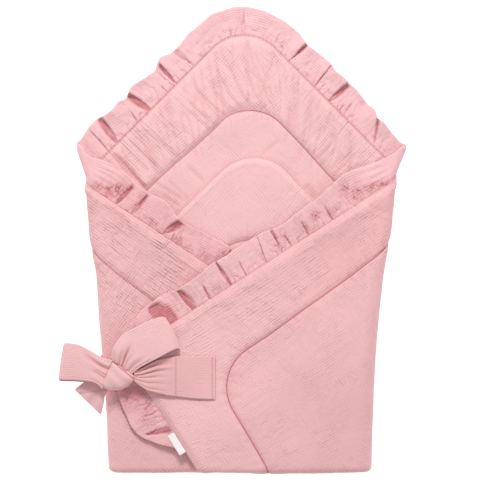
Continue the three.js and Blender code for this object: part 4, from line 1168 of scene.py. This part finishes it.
def knotShape(x, y, z):
    around, angle = np.hypot(x, y), np.arctan2(y, x)
    power = knot["fullness"]
    full = (around ** power + np.abs(z) ** power) ** (-1 / power)
    out = curveThrough(knotOutline, 1, np.degrees(angle)) * around * full
    px, py, pz = np.cos(angle) * out, np.sin(angle) * out, knot["height"] * z * full
    turn = math.radians(knot["creaseTurn"])
    offX, offY = px - knot["creaseX"], py - knot["creaseY"]
    beyond = offY * math.cos(turn) - offX * math.sin(turn)
    along = offX * math.cos(turn) + offY * math.sin(turn)
    onTop = smooth(z * 3)
    groove = np.exp(-(beyond / knot["creaseWidth"]) ** 2) * smooth((along + 1) / 3) * onTop
    turned = knot["swell"] * np.cos((beyond + 0.1 * along) * 0.42 + 1) * onTop
    spot = (knot["x"] + px, knot["y"] + py, knot["z"] + pz + turned - knot["creaseDepth"] * groove)
    # painted shade in the groove
    return spot, (px, py), groove * 0.9


piece = finishPiece(knotMesh(), "bow_knot_wrap", knotShape, tieMuslin, ["bow_knot"])


# The label: a blank folded tab beside the foot
label = {"from": 834, "to": 864, "width": 9, "thickness": 0.9, "height": 1.7}


def labelShape(a, b, side):
    def middle(a, b):
        x, y, outX, outY = seamAt(blend(label["from"], label["to"], (a + 1) / 2), 1)
        reach = ruffle["seamGap"] + label["width"] * (b + 1) / 2
        return folded(x + outX * reach, y + outY * reach, np.full_like(a, label["height"]))

    return tuple(thicken(middle, a, b, side, label["thickness"])), (a * 15, b * 5), a * 0


piece = finishPiece(makeSlab(16, 8), "label_blank", labelShape, labelTape, ["label"])
print("pieces ready")


# Floor, light and camera
studio = {
    "floorSize": 6, "floorColour": (0.93, 0.93, 0.93), "floorGlow": 0.7,
    "world": 0.56, "worldColour": (1, 0.91, 0.92, 1),
    "keyPlace": (-0.2, 1.7, 1.75), "keySize": 0.7, "keyPower": 45,
    "fillPlace": (0.3, -1, 2.6), "fillSize": 2.4, "fillPower": 6,
}
view = {
    "distance": 5, "width": 0.648, "subjectHeight": 0.02, "centreX": -5.4, "centreY": 310.5, "sensor": 36,
}

bm = bmesh.new()
bmesh.ops.create_grid(bm, x_segments=1, y_segments=1, size=studio["floorSize"] / 2)
floorMesh = bpy.data.meshes.new("floor")
bm.to_mesh(floorMesh)
bm.free()
floor = bpy.data.objects.new("floor", floorMesh)
floorMesh.materials.append(makePlain("floor_pale", studio["floorColour"], 0.9, studio["floorGlow"]))
bpy.context.scene.collection.objects.link(floor)


def addLight(name, place, size, power):
    data = bpy.data.lights.new(name, "AREA")
    data.shape, data.size, data.energy = "DISK", size, power
    lamp = bpy.data.objects.new(name, data)
    lamp.location = place
    lamp.rotation_euler = (-Vector(place)).to_track_quat("-Z", "Y").to_euler()
    bpy.context.scene.collection.objects.link(lamp)


addLight("key", studio["keyPlace"], studio["keySize"], studio["keyPower"])
addLight("fill", studio["fillPlace"], studio["fillSize"], studio["fillPower"])
world = bpy.data.worlds.new("studio")
bpy.context.scene.world = world
world.use_nodes = True
background = world.node_tree.nodes["Background"].inputs
background["Color"].default_value = studio["worldColour"]
background["Strength"].default_value = studio["world"]

cameraData = bpy.data.cameras.new("camera")
cameraData.sensor_width = view["sensor"]
cameraData.lens = view["sensor"] * (view["distance"] - view["subjectHeight"]) / view["width"]
cameraData.clip_end = 50
camera = bpy.data.objects.new("camera", cameraData)
camera.location = (
    (view["centreX"] + shiftX) * millimetre, (view["centreY"] + shiftY) * millimetre, view["distance"],
)
bpy.context.scene.collection.objects.link(camera)
bpy.context.scene.camera = camera
bpy.context.scene.view_settings.view_transform = "Standard"
print("stage ready")
